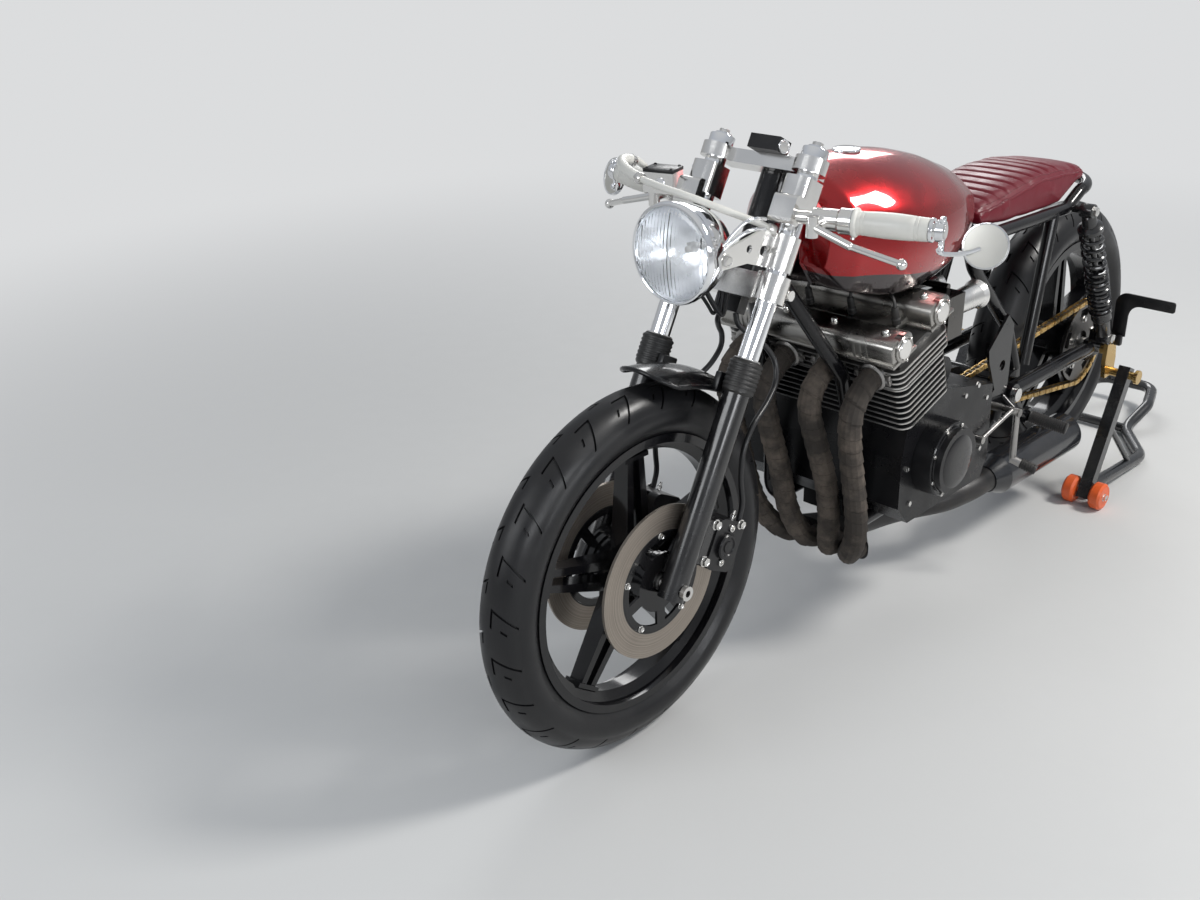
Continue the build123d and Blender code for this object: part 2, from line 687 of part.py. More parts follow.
def main_frame():
    """Head tube, backbone, down tubes that run under the engine, posts and pivot plates."""
    head = Pos(0, 0, HEAD_LOW) * Cylinder(HEAD_TUBE_R, HEAD_HIGH - HEAD_LOW, align=UP)
    frame = on_fork(head) + rod(BACKBONE_TOP, (CROSS_X, 0, CROSS_Z), BACKBONE_R)
    frame = frame + across(TUBE_R, -RAIL_Y - TUBE_R, RAIL_Y + TUBE_R, CROSS_X, CROSS_Z)
    for x in (1050, 690):
        pad_low = backbone_z(x)
        pad_high = backbone_z(x - 20) + TUNNEL_HALF - FIT
        frame = frame + Pos(x, 0, (pad_low + pad_high) / 2) * Box(40, 30, pad_high - pad_low)
    pivot_pad = [
        (PIVOT_X - 42, PIVOT_Z - 34),
        (PIVOT_X + 36, PIVOT_Z - 60),
        (PIVOT_X + 44, PIVOT_Z + 40),
        (PIVOT_X - 16, PIVOT_Z + 68),
        (PIVOT_X - 78, PIVOT_Z + 60),
        (PIVOT_X - 78, PIVOT_Z + 32),
        (PIVOT_X - 42, PIVOT_Z + 22),
    ]
    for side in (-1, 1):
        down = bent(
            [
                fork_point(-6, side * 18, 584),
                (1036, side * 90, 570),
                (1000, side * CRADLE_Y, 438),
                (988, side * CRADLE_Y, CRADLE_Z),
                (CRADLE_BACK_X, side * CRADLE_Y, CRADLE_Z),
                (PIVOT_X + 30, side * PAD_TUBE_Y, PIVOT_Z - 62),
                (PIVOT_X + 20, side * PAD_TUBE_Y, PIVOT_Z - 26),
            ],
            [40, 90, 55, 80, 15],
            TUBE_R,
        )
        pad = plate(pivot_pad, PAD_Y, PAD_Y + PAD_T)
        if side < 0:
            pad = mirrored(pad)
        frame = frame + down + side_post(side, TUBE_R) + pad
        frame = frame + Pos(980, side * CRADLE_Y, 330) * Box(19, 16, 44)
        frame = frame + Pos(700, side * CRADLE_Y, 250) * Box(50, 16, 13.4)
        frame = frame + across(7, side * 100, side * (LEAF_Y - FIT), 482, 548)
        frame = frame + across(7, side * 104, side * (LEAF_Y - FIT), 478, 404)
        frame = frame - across(AXLE_R + FIT, side * 90, side * 130, PIVOT_X, PIVOT_Z)
    frame = frame - on_fork(Pos(0, 0, HEAD_LOW - 1) * Cylinder(HEAD_BORE_R, 200, align=UP))
    save("main_frame", frame)


def seat_rail():
    """The seat's rail: straight sides that kick up into a hoop behind the seat."""
    rail = bent(
        [
            (RAIL_FRONT_X, RAIL_Y, RAIL_FRONT_Z),
            (KICK_X, RAIL_Y, RAIL_KICK_Z),
            (HOOP_X, RAIL_Y, HOOP_Z),
            (HOOP_BACK_X, RAIL_Y, HOOP_BACK_Z),
            (HOOP_BACK_X, -RAIL_Y, HOOP_BACK_Z),
            (HOOP_X, -RAIL_Y, HOOP_Z),
            (KICK_X, -RAIL_Y, RAIL_KICK_Z),
            (RAIL_FRONT_X, -RAIL_Y, RAIL_FRONT_Z),
        ],
        [60, 60, HOOP_R, HOOP_R, 60, 60],
        TUBE_R,
    )
    ear = [
        (SHOCK_TOP_X - 20, SHOCK_TOP_Z - 14),
        (SHOCK_TOP_X + 20, SHOCK_TOP_Z - 14),
        (SHOCK_TOP_X + 58, RAIL_KICK_Z),
        (SHOCK_TOP_X - 20, SHOCK_TOP_Z + 20),
    ]
    for side in (-1, 1):
        rail = rail + rod((280, side * RAIL_Y, rail_z(280)), (373, side * STRUT_Y, 414), TUBE_R)
        web = plate(ear, RAIL_Y - 4, RAIL_Y + 4)
        if side < 0:
            web = mirrored(web)
        stud = across(8, side * RAIL_Y, side * (SHOCK_Y + 18), SHOCK_TOP_X, SHOCK_TOP_Z)
        rail = rail + web + stud
        rail = rail - side_post(side, TUBE_R + FIT)
        rail = rail - across(TUBE_R + FIT, side * 60, side * 140, CROSS_X, CROSS_Z)
    save("seat_rail", rail)


# Rear suspension and drive

SHOCK_Y = 151.0
SHOCK_TOP_X = 204.0
SHOCK_TOP_Z = 730.0
SHOCK_LOW_X = 16.0
SHOCK_LOW_Z = 388.0
SHOCK_R = 28.0
AXLE_PLATE_T = 12.0
NUT_T = 9.0
NUT_FACE = SWINGARM_Y + AXLE_PLATE_T / 2 + FIT + NUT_T


def swingarm():
    """Two arms from the pivot to the axle, a cross tube between them, and the end plates."""
    arm = across(15, -SWINGARM_Y, SWINGARM_Y, PIVOT_X - 62, PIVOT_Z - 2)
    for side in (-1, 1):
        y = side * SWINGARM_Y
        boss = across(23, side * (PAD_Y + PAD_T + FIT), y + side * 18, PIVOT_X, PIVOT_Z)
        leg = rod((PIVOT_X, y, PIVOT_Z), (48, y, REAR_AXLE_Z + 8), SWINGARM_R)
        leg = leg + Pos(0, y, REAR_AXLE_Z + 6) * Box(124, AXLE_PLATE_T, 50)
        leg = leg + Pos(SHOCK_LOW_X, y, SHOCK_LOW_Z - 4) * Box(34, AXLE_PLATE_T, 40)
        leg = leg + across(8, y, side * (SHOCK_Y + 18), SHOCK_LOW_X, SHOCK_LOW_Z)
        arm = arm + boss + leg
    arm = arm - across(AXLE_R + FIT, -180, 180, PIVOT_X, PIVOT_Z)
    arm = arm - across(AXLE_R + FIT, -180, 180, 0, REAR_AXLE_Z)
    save("swingarm", arm)


def rear_axles():
    """The pivot bolt through frame and swingarm, and the rear axle with its spacers."""
    bolt_face = SWINGARM_Y + 18 + FIT
    bolt = across(AXLE_R, -bolt_face, bolt_face, PIVOT_X, PIVOT_Z)
    axle_face = NUT_FACE - NUT_T
    axle = across(AXLE_R, -axle_face, axle_face, 0, REAR_AXLE_Z)
    for side in (-1, 1):
        bolt = bolt + across(15, side * bolt_face, side * (bolt_face + NUT_T), PIVOT_X, PIVOT_Z)
        axle = axle + across(14, side * axle_face, side * NUT_FACE, 0, REAR_AXLE_Z)
    inner = SWINGARM_Y - AXLE_PLATE_T / 2 - FIT
    hub_left = CHAIN_Y + SPROCKET_T / 2 + FIT * 2
    hub_right = DISC_Y_REAR - DISC_T / 2 - FIT * 2
    left_spacer = across(15, hub_left, inner, 0, REAR_AXLE_Z)
    right_spacer = across(15, -inner + BRACKET_T + FIT, hub_right, 0, REAR_AXLE_Z)
    save("rear_axle", axle + left_spacer + right_spacer)
    save("pivot_bolt", bolt)


BRACKET_T = 8.0
REAR_CALIPER_X = 62.0
REAR_CALIPER_Z = 462.0


def rear_caliper():
    """The rear brake's caliper and the bracket that holds it at the axle."""
    block = Pos(REAR_CALIPER_X, DISC_Y_REAR - 6, REAR_CALIPER_Z) * Rot(0, -30, 0) * Box(92, 56, 60)
    slot = across(DISC_R_REAR + RUN, DISC_Y_REAR - 8, DISC_Y_REAR + 8, 0, REAR_AXLE_Z)
    block = block - slot
    outer = -SWINGARM_Y + AXLE_PLATE_T / 2 + FIT
    arm_outline = [(-26, 340), (22, 334), (34, 392), (96, 440), (40, 480), (-26, 380)]
    arm = plate(arm_outline, outer, outer + BRACKET_T)
    arm = arm - across(AXLE_R + FIT, -180, 0, 0, REAR_AXLE_Z)
    save("rear_caliper", block + arm)


def shocks():
    """Twin dampers with their springs' outer shape, from the seat rail to the swingarm."""
    top = Vector(SHOCK_TOP_X, 0, SHOCK_TOP_Z)
    low = Vector(SHOCK_LOW_X, 0, SHOCK_LOW_Z)
    along = (top - low).normalized()
    pieces = []
    for side in (-1, 1):
        lift = Vector(0, side * SHOCK_Y, 0)
        half = SHOCK_Y - SWINGARM_Y - AXLE_PLATE_T / 2 - FIT
        unit = rod(low + lift + along * 8, low + lift + along * 60, half - 1)
        unit = unit + rod(low + lift + along * 60, top + lift - along * 46, SHOCK_R)
        unit = unit + rod(top + lift - along * 46, top + lift - along * 12, 17)
        for centre in (low, top):
            unit = unit + across(15, side * (SHOCK_Y - half), side * (SHOCK_Y + half), centre.X, centre.Z)
        for centre in (low, top):
            unit = unit - across(8 + FIT, side * 100, side * 180, centre.X, centre.Z)
        pieces.append(unit)
    save("shock_absorbers", *pieces)


def belt_face(grow, gap, half_deg):
    """The area inside a belt round both sprockets, its centre line grown by a margin."""
    big = SPROCKET_R + grow
    small = FRONT_SPROCKET_R + grow
    up = math.radians(90 - half_deg)
    rear_top = (big * math.cos(up), big * math.sin(up))
    front_top = (gap + small * math.cos(up), small * math.sin(up))
    rear_low = (rear_top[0], -rear_top[1])
    front_low = (front_top[0], -front_top[1])
    nose = ThreePointArc(front_top, (gap + small, 0), front_low)
    tail = ThreePointArc(rear_low, (-big, 0), rear_top)
    return make_face([Line(rear_top, front_top), nose, Line(front_low, rear_low), tail])


def chain():
    """The drive chain as one closed loop round the two sprockets' pitch circles."""
    rise = GEARBOX_Z - REAR_AXLE_Z
    gap = math.hypot(GEARBOX_X, rise)
    tilt = math.degrees(math.atan2(rise, GEARBOX_X))
    half_deg = math.degrees(math.asin((SPROCKET_R - FRONT_SPROCKET_R) / gap))
    outer = CHAIN_H / 2
    loop = belt_face(outer, gap, half_deg) - belt_face(-outer, gap, half_deg)
    loop = Rot(0, -tilt, 0) * (Rot(90, 0, 0) * extrude(loop, CHAIN_W))
    save("drive_chain", Pos(0, CHAIN_Y + CHAIN_W / 2, REAR_AXLE_Z) * loop)
    face = SPROCKET_T / 2
    cog_r = FRONT_SPROCKET_R - outer - FIT
    cog = across(cog_r, CHAIN_Y - face, CHAIN_Y + face, GEARBOX_X, GEARBOX_Z)
    shaft = across(13, TAIL_LEFT + FIT, CHAIN_Y + 9, GEARBOX_X, GEARBOX_Z)
    save("front_sprocket", cog + shaft)


# Engine

CASE_BOTTOM = 257.0
CYL_BASE = 112.0
CYL_TOP = 214.0
CYL_FINS = 8
HEAD_TOP = 276.0
COVER_TOP = 322.0
CAM_OFFSET = 64.0
CAM_HALF = 205.0
FIN_T = 3.2
TAIL_LEFT = 60.0
SUMP_HALF = 76.0


def crankcase():
    """The crankcase and gearbox as one block with its round side covers and sump."""
    top_front = bore_point(70, 0, CYL_BASE - FIT)
    top_back = bore_point(-72, 0, CYL_BASE - FIT)
    outline = [
        (968, 300),
        (970, 400),
        (top_front[0], top_front[2]),
        (top_back[0], top_back[2]),
        (760, 492),
        (636, 462),
        (628, 300),
        (650, CASE_BOTTOM),
        (930, CASE_BOTTOM),
    ]
    case = plate(outline, -CASE_HALF_W, CASE_HALF_W)
    case = case - Pos(630, CHAIN_Y, GEARBOX_Z) * Box(40, CHAIN_W + 14, 130)
    tail_outline = [(640, 300), (640, 455), (540, 440), (508, 400), (508, 330), (530, 300)]
    case = case + plate(tail_outline, -84, TAIL_LEFT)
    case = case + Pos(785, 0, CASE_BOTTOM - 25) * Box(230, SUMP_HALF * 2, 56)
    case = case + across(76, CASE_HALF_W - 2, CASE_HALF_W + 40, CRANK_X, CRANK_Z + 4)
    case = case + across(66, CASE_HALF_W + 38, CASE_HALF_W + 56, CRANK_X, CRANK_Z + 4)
    case = case + across(60, -CASE_HALF_W + 2, -CASE_HALF_W - 34, CRANK_X, CRANK_Z + 4)
    case = case + across(88, -CASE_HALF_W + 2, -CASE_HALF_W - 42, 705, 366)
    case = case + across(30, -60, 140, 752, 510)
    save("crankcase", case)


def cylinders():
    """The finned block of four air-cooled bores, and the finned head on it."""
    block = Pos(0, 0, CYL_BASE) * Box(118, 372, CYL_TOP - CYL_BASE, align=UP)
    pitch = (CYL_TOP - CYL_BASE) / CYL_FINS
    for index in range(CYL_FINS):
        fin = Pos(0, 0, CYL_BASE + (index + 0.5) * pitch) * Box(158, 392, FIN_T)
        block = block + fillet(fin.edges().filter_by(Axis.Z), 22)
    save("cylinders", on_bores(block))
    head = Pos(0, 0, CYL_TOP + FIT) * Box(140, 380, HEAD_TOP - CYL_TOP - FIT, align=UP)
    for index in range(4):
        fin = Pos(0, 0, CYL_TOP + 6 + index * 11) * Box(176, 400, FIN_T)
        head = head + fillet(fin.edges().filter_by(Axis.Z), 22)
    for index in range(4):
        y = (index - 1.5) * BORE_PITCH
        head = head + Pos(76, y, PORT_Z) * Rot(0, 90, 0) * Cylinder(26, 24)
        head = head + Pos(-88, y, 252) * Rot(0, 90, 0) * Cylinder(24, 60)
    head = on_bores(head)
    behind = Pos(CARB_FRONT_X + FIT - 50, 0, CARB_Z) * Box(100, 500, 110)
    save("cylinder_head", head - behind)


def cam_covers():
    """Front and rear cam housings joined by a bridge, with round end caps."""
    base = HEAD_TOP + FIT
    cover = Pos(0, 0, base) * Box(120, 300, 20, align=UP)
    for side in (-1, 1):
        box = Pos(side * CAM_OFFSET, 0, base) * Box(
            68, CAM_HALF * 2 - 14, COVER_TOP - base, align=UP
        )
        box = chamfer(box.edges().filter_by(Axis.Y).group_by(Axis.Z)[-1], 16)
        cover = cover + box
        for end in (-1, 1):
            cap = Pos(side * CAM_OFFSET, end * (CAM_HALF - 8), HEAD_TOP + 22)
            cover = cover + cap * Rot(90, 0, 0) * Cylinder(22, 16)
    save("cam_covers", on_bores(cover))


PORT_Z = 240.0
CARB_FRONT_X = 832.0
CARB_BACK_X = 748.0
CARB_Z = 648.0
TRUMPET_X = 658.0
TRUMPET_BORE = 21.0


def carburettors():
    """Four carburettor bodies behind the head, each with its open intake trumpet."""
    bank = across(7, -1.5 * BORE_PITCH, 1.5 * BORE_PITCH, 770, CARB_Z + 40)
    for index in range(4):
        y = (index - 1.5) * BORE_PITCH
        body = rod((CARB_FRONT_X, y, CARB_Z), (CARB_BACK_X, y, CARB_Z), 24)
        body = body + Pos(788, y, CARB_Z - 8) * Box(56, 62, 86)
        lip = (TRUMPET_X + 12, y, CARB_Z)
        body = body + cone((CARB_BACK_X + 2, y, CARB_Z), lip, 23, 25)
        body = body + cone(lip, (TRUMPET_X, y, CARB_Z), 25, 30)
        body = body - rod((CARB_BACK_X + 10, y, CARB_Z), (TRUMPET_X - 1, y, CARB_Z), TRUMPET_BORE)
        bank = bank + body
    save("carburettors", bank)


# Exhaust

HEADER_R = 22.0
COLLECTOR_X = 905.0
COLLECTOR_Z = 150.0
PIPE_R = 29.0
MUFFLER_R = 48.0
MUFFLER_FRONT = (470.0, 112.0, 162.0)
MUFFLER_BACK = (120.0, 127.0, 168.0)


def smooth(points, radius):
    """A round tube whose bends are as large as its runs allow."""
    spots = [Vector(*point) for point in points]
    bends = []
    for before, here, after in zip(spots, spots[1:], spots[2:]):
        run_in = here - before
        run_out = after - here
        half_turn = math.radians(run_in.get_angle(run_out)) / 2
        bends.append(0.45 * min(run_in.length, run_out.length) / math.tan(half_turn))
    return bent(spots, bends, radius)


def exhaust():
    """Four headers that sweep under the engine into one pipe, and a round muffler."""
    face = 88 + FIT
    headers = []
    for side in (-1, 1):
        outer_y = side * BORE_PITCH * 1.5
        outer = [
            bore_point(face, outer_y, PORT_Z),
            bore_point(face + 34, outer_y, PORT_Z),
            (1088, side * 144, 520),
            (1062, side * 138, 420),
            (1024, side * 134, 300),
            (1004, side * 124, 226),
            (975, side * 92, 172),
            (COLLECTOR_X + 36, side * 68, COLLECTOR_Z),
            (COLLECTOR_X + FIT, side * 68, COLLECTOR_Z),
        ]
        inner_y = side * BORE_PITCH * 0.5
        inner = [
            bore_point(face, inner_y, PORT_Z),
            bore_point(face + 34, inner_y, PORT_Z),
            (1090, side * 52, 520),
            (1056, side * 56, 430),
            (1014, side * 56, 330),
            (996, side * 54, 250),
            (974, side * 40, 184),
            (COLLECTOR_X + 40, side * 23, COLLECTOR_Z),
            (COLLECTOR_X + FIT, side * 23, COLLECTOR_Z),
        ]
        headers.append(smooth(outer, HEADER_R))
        headers.append(smooth(inner, HEADER_R))
    save("exhaust_headers", *headers)
    mouth = Plane(origin=(COLLECTOR_X, 0, COLLECTOR_Z), z_dir=(-1, 0, 0))
    wide = mouth * RectangleRounded(52, 186, 20)
    narrow = Plane(origin=(COLLECTOR_X - 84, 0, COLLECTOR_Z), z_dir=(-1, 0, 0)) * RectangleRounded(
        PIPE_R * 2 + 2, PIPE_R * 2 + 2, PIPE_R
    )
    collector = loft([wide, narrow], ruled=True)
    front = Vector(*MUFFLER_FRONT)
    back = Vector(*MUFFLER_BACK)
    along = (back - front).normalized()
    pipe = smooth(
        [
            (COLLECTOR_X - 80, 0, COLLECTOR_Z),
            (700, 26, 146),
            (600, 88, 152),
            front - along * 60,
            front,
        ],
        PIPE_R,
    )
    save("exhaust_collector", collector + pipe)
    can = cone(front + along * FIT, front + along * 40, PIPE_R + 3, MUFFLER_R)
    can = can + rod(front + along * 40, back, MUFFLER_R)
    can = can - rod(back - along * 60, back + along * 2, 30)
    can = can + across(8, 112, SWINGARM_Y, 250, 214)
    save("muffler", can)


# Tank and seat

# Each row: X, half width, lowest and highest point
TANK = [
    (1095, 96, 778, 925),
    (1060, 126, 740, 945),
    (960, 160, 716, 957),
    (850, 165, 716, 950),
    (740, 150, 730, 925),
    (650, 118, 750, 893),
    (597, 92, 764, 866),
]
CAP_X = 928.0
CAP_Z = 947.0
CAP_R = 27.0
SEAT_FRONT_X = 592.0
SEAT_BACK_X = 58.0
SEAT_HALF = 112.0
SEAT_ROUND_R = 104.0


def tank_section(x, half, low, high):
    """One cross-section of the tank: flat below, round shoulders and an arched top."""
    tall = high - low
    foot = half * 0.82
    shoulder = (half * 0.94, low + tall * 0.62)
    lines = [
        Line((-foot, low), (foot, low)),
        ThreePointArc((foot, low), (half, low + tall * 0.32), shoulder),
        ThreePointArc(shoulder, (0, high), (-shoulder[0], shoulder[1])),
        ThreePointArc((-shoulder[0], shoulder[1]), (-half, low + tall * 0.32), (-foot, low)),
    ]
    return Plane(origin=(x, 0, 0), x_dir=(0, 1, 0), z_dir=(1, 0, 0)) * make_face(lines)


def fuel_tank():
    tank = loft([tank_section(*row) for row in reversed(TANK)], ruled=True)
    front_x = TANK[0][0] + 10
    back_x = TANK[-1][0] - 10
    tunnel = plate(
        [
            (front_x, backbone_z(front_x) + TUNNEL_HALF),
            (back_x, backbone_z(back_x) + TUNNEL_HALF),
            (back_x, 600),
            (front_x, 600),
        ],
        -TUNNEL_HALF,
        TUNNEL_HALF,
    )
    tank = tank - tunnel
    tank = tank - Pos(CAP_X, 0, CAP_Z) * Cylinder(CAP_R + 3, 60, align=UP)
    save("fuel_tank", tank)
    cap = Pos(CAP_X, 0, CAP_Z + FIT) * Cylinder(CAP_R, 15, align=UP)
    save("filler_cap", chamfer(cap.edges().group_by(Axis.Z)[-1], 3))


def seat():
    """The seat's padded block, on the rails, with a round tail on top of the hoop."""
    lift = TUBE_R + FIT
    outline = [
        (SEAT_FRONT_X, rail_z(SEAT_FRONT_X) + lift),
        (SEAT_FRONT_X, 800),
        (480, 816),
        (313, 829),
        (KICK_X, 826),
        (150, 815),
        (SEAT_BACK_X, 797),
        (SEAT_BACK_X, HOOP_BACK_Z + lift + 1),
        (HOOP_X + 6, HOOP_Z + lift + 1.7),
        (KICK_X + 16, rail_z(KICK_X + 16) + lift),
    ]
    block = plate(outline, -SEAT_HALF, SEAT_HALF)
    long = 900
    footprint = extrude(RectangleRounded(long, SEAT_HALF * 2, SEAT_ROUND_R), 200)
    save("seat", block & (Pos(SEAT_BACK_X + long / 2, 0, 700) * footprint))


# Foot controls and number plate bracket

LEAF_Y = 133.0
LEAF_T = 6.0
PEG_Y = 186.0
LEVER_X = 540.0
LEVER_Y = 203.0
LEVER_Z = 372.0


def foot_controls():
    """Plates bolted to the frame, with folding pegs, a gear lever and a brake pedal."""
    leaf = [
        (466, 534),
        (494, 562),
        (566, 500),
        (560, 474),
        (524, 402),
        (LEVER_X + 14, LEVER_Z + 10),
        (LEVER_X + 12, LEVER_Z - 14),
        (492, 352),
        (470, 352),
        (466, 400),
    ]
    plates = []
    pegs = []
    for side in (-1, 1):
        low, high = LEAF_Y, LEAF_Y + LEAF_T
        panel = plate(leaf, low, high)
        panel = panel - across(12, low - 1, high + 1, 500, 450)
        panel = panel + rod((482, high - 2, 372), (482, PEG_Y - 22, 352), 9)
        panel = panel + rod((482, PEG_Y - 22, 352), (440, PEG_Y - 10, 328), 9)
        panel = panel + Pos(482, PEG_Y - 22, 352) * Sphere(9)
        panel = panel + Pos(438, PEG_Y - 10, 328) * Box(22, 12, 30)
        peg = rod((436, PEG_Y, 326), (420, PEG_Y + 74, 312), 14)
        if side < 0:
            panel = mirrored(panel)
            peg = mirrored(peg)
        plates.append(panel)
        pegs.append(peg)
    save("footrest_plates", *plates)
    save("footpegs", *pegs)
    pivot_y = LEAF_Y + LEAF_T + FIT
    lever = across(9, pivot_y, LEVER_Y + 8, LEVER_X, LEVER_Z)
    lever = lever + rod((LEVER_X, LEVER_Y, LEVER_Z), (LEVER_X - 6, LEVER_Y, 262), 7)
    lever = lever + rod((LEVER_X - 6, LEVER_Y - 4, 262), (522, 250, 246), 9)
    lever = lever + rod((LEVER_X, LEVER_Y, LEVER_Z), (LEVER_X + 26, LEVER_Y, LEVER_Z + 12), 6)
    lever = lever + rod((LEVER_X + 24, LEVER_Y, LEVER_Z + 12), (688, LEVER_Y, 358), 4.5)
    lever = lever + across(8, CASE_HALF_W + FIT, LEVER_Y + 6, 688, 358)
    save("shift_lever", lever)
    pedal = across(9, -pivot_y, -LEVER_Y - 8, LEVER_X, LEVER_Z)
    pedal = pedal + rod((LEVER_X, -LEVER_Y, LEVER_Z), (566, -LEVER_Y, 300), 7)
    pedal = pedal + rod((566, -LEVER_Y + 3, 300), (590, -250, 290), 9)
    save("brake_pedal", pedal)


BRACKET_X = -20.0
PLATE_HOLES_Y = (215.0, 275.0)
PLATE_HOLE_R = 3.5


def plate_bracket():
    """A bent bracket for a number plate, out beside the left end of the rear axle."""
    leg = Pos(BRACKET_X, 170, 440) * Box(5, 34, 110)
    arm = Pos(BRACKET_X, 229, 479) * Box(5, 128, 33)
    bracket = leg + arm
    foot = Pos(BRACKET_X + 4, 174, 378) * Box(13, 15, 26)
    bracket = bracket + foot
    for y in PLATE_HOLES_Y:
        bracket = bracket - Pos(BRACKET_X, y, 479) * Rot(0, 90, 0) * Cylinder(PLATE_HOLE_R, 20)
    save("plate_bracket", bracket)


# Paddock stand

PIN_R = 10.0
HOOK_Y = 156.0
HOOK_T = 10.0
HOOK_TOP = 372.0
POST_SIDE = 28.0
SHAFT_R = 6.0


def stand():
    """The paddock stand: posts on small wheels, a low tube loop with its handle, and hooks."""
    loop = []
    for side in (1, -1):
        route = [
            (96, side * STAND_Y, 40),
            (-205, side * 202, STAND_TUBE_R),
            (-350, side * 97, STAND_TUBE_R),
            (-462, side * 106, 50),
            (HANDLE_BACK_X, side * 72, 60),
        ]
        loop.extend(route if side > 0 else reversed(route))
    frame = bent(loop, [70, 90, 60, 44, 44, 60, 90, 70], STAND_TUBE_R)
    frame = frame + across(12, -97, 97, -350, STAND_TUBE_R + 1)
    foot = Vector(STAND_AXLE_X, 0, STAND_WHEEL_R)
    pin = Vector(STAND_PIN_X, 0, STAND_PIN_Z)
    up = (pin - foot).normalized()
    tall = (pin - foot).length + 34
    wheels = []
    hooks = []
    for side in (-1, 1):
        lift = Vector(0, side * STAND_Y, 0)
        post = Plane(origin=foot + lift - up * 16, x_dir=(0, 1, 0), z_dir=up) * Box(
            POST_SIDE, POST_SIDE, tall, align=UP
        )
        brace = rod((44, side * STAND_Y, 186), (-120, side * 204, 30), 7)
        frame = frame + post + brace
        frame = frame - across(SHAFT_R + FIT, side * 180, side * 230, STAND_AXLE_X, STAND_WHEEL_R)
        frame = frame - across(PIN_R + FIT, side * 180, side * 240, STAND_PIN_X, STAND_PIN_Z)
        pair = across(SHAFT_R, side * 165, side * 246, STAND_AXLE_X, STAND_WHEEL_R)
        for shift in (-STAND_WHEEL_GAP / 2, STAND_WHEEL_GAP / 2):
            middle = STAND_Y + shift
            half = STAND_WHEEL_W / 2
            roller = across(
                STAND_WHEEL_R, side * (middle - half), side * (middle + half), STAND_AXLE_X, STAND_WHEEL_R
            )
            pair = pair + chamfer(roller.edges(), 5)
        wheels.append(pair)
        outline = [(-34, 286), (14, 286), (22, 330), (20, HOOK_TOP), (-24, HOOK_TOP), (-34, 330)]
        hook = plate(outline, HOOK_Y, HOOK_Y + HOOK_T)
        hook = hook + across(PIN_R, HOOK_Y, 238, STAND_PIN_X, STAND_PIN_Z)
        hook = hook + across(17, 232, 240, STAND_PIN_X, STAND_PIN_Z)
        hook = hook + across(15, NUT_FACE + FIT, HOOK_Y, 0, REAR_AXLE_Z)
        if side < 0:
            hook = mirrored(hook)
        hooks.append(hook)
    save("stand_frame", frame)
    save("stand_wheels_right", wheels[0])
    save("stand_wheels_left", wheels[1])
    save("stand_hooks", *hooks)


# Hoses and cable, all on the steering

HOSE_R = 5.0
CABLE_R = 6.0


def hoses():
    """Brake hoses from both calipers, behind the fork legs, up to a splitter under the clamp."""
    splitter_x = 12.0
    splitter_z = LOWER_CLAMP[0] - FIT - 13
    block = Pos(splitter_x, 0, splitter_z) * Box(24, 52, 26)
    lines = []
    for side in (-1, 1):
        route = [
            fork_point(-70, side * 100, CALIPER_Z + CALIPER_TALL / 2 + FIT),
            fork_point(-66, side * 100, 164),
            fork_point(-36, side * 99, 206),
            fork_point(-18, side * 98, 252),
            fork_point(-30, side * 93, 300),
            fork_point(-64, side * 84, 340),
            fork_point(-88, side * 74, 380),
            fork_point(-86, side * 62, 416),
            fork_point(-56, side * 48, 438),
            fork_point(-20, side * 34, 446),
            fork_point(6, side * 22, 456),
            fork_point(splitter_x, side * 16, splitter_z - 13 - FIT),
        ]
        lines.append(smooth(route, HOSE_R))
    save("brake_hoses", on_fork(block), *lines)


def throttle_cable():
    """The cable that loops from the throttle, over the headlight, to a guide on the left ear."""
    route = [
        SPOUT_END + SPOUT_WAY * FIT,
        SPOUT_END + SPOUT_WAY * 20,
        (1268, -211, 969),
        (1298, -210, 975),
        (1324, -192, 971),
        (1340, -156, 963),
        (1348, -110, 956),
        (1350, -62, 950),
        (1344, -16, 943),
        (1325, 22, 929),
        (1300, 52, 914),
        (1278, 74, 902),
        (1262, 84, 890),
    ]
    save("throttle_cable", smooth(route, CABLE_R))


for build in (
    front_wheel,
    rear_wheel,
    fork,
    clamps,
    headlight,
    headlight_ears,
    handlebars,
    switch_housings,
    levers,
    front_fender,
    calipers,
    main_frame,
    seat_rail,
    swingarm,
    rear_axles,
    rear_caliper,
    shocks,
    chain,
    crankcase,
    cylinders,
    cam_covers,
    carburettors,
    exhaust,
    fuel_tank,
    seat,
    foot_controls,
    plate_bracket,
    stand,
    hoses,
    throttle_cable,
):
    build()
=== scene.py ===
# %% [markdown]
# # A cafe racer on its paddock stand
# The machine is a four cylinder motorcycle with a red tank, a burgundy seat, black cast wheels and
# a white throttle cable, parked on a stand that lifts its rear wheel. The CAD model gives every
# node its true place and size. This lesson dresses that model: some nodes only need a finish, and
# others are replaced by a finer piece that stands in the same place.

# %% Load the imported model
import math

import bpy
from mathutils import Matrix, Vector
from mathutils.bvhtree import BVHTree


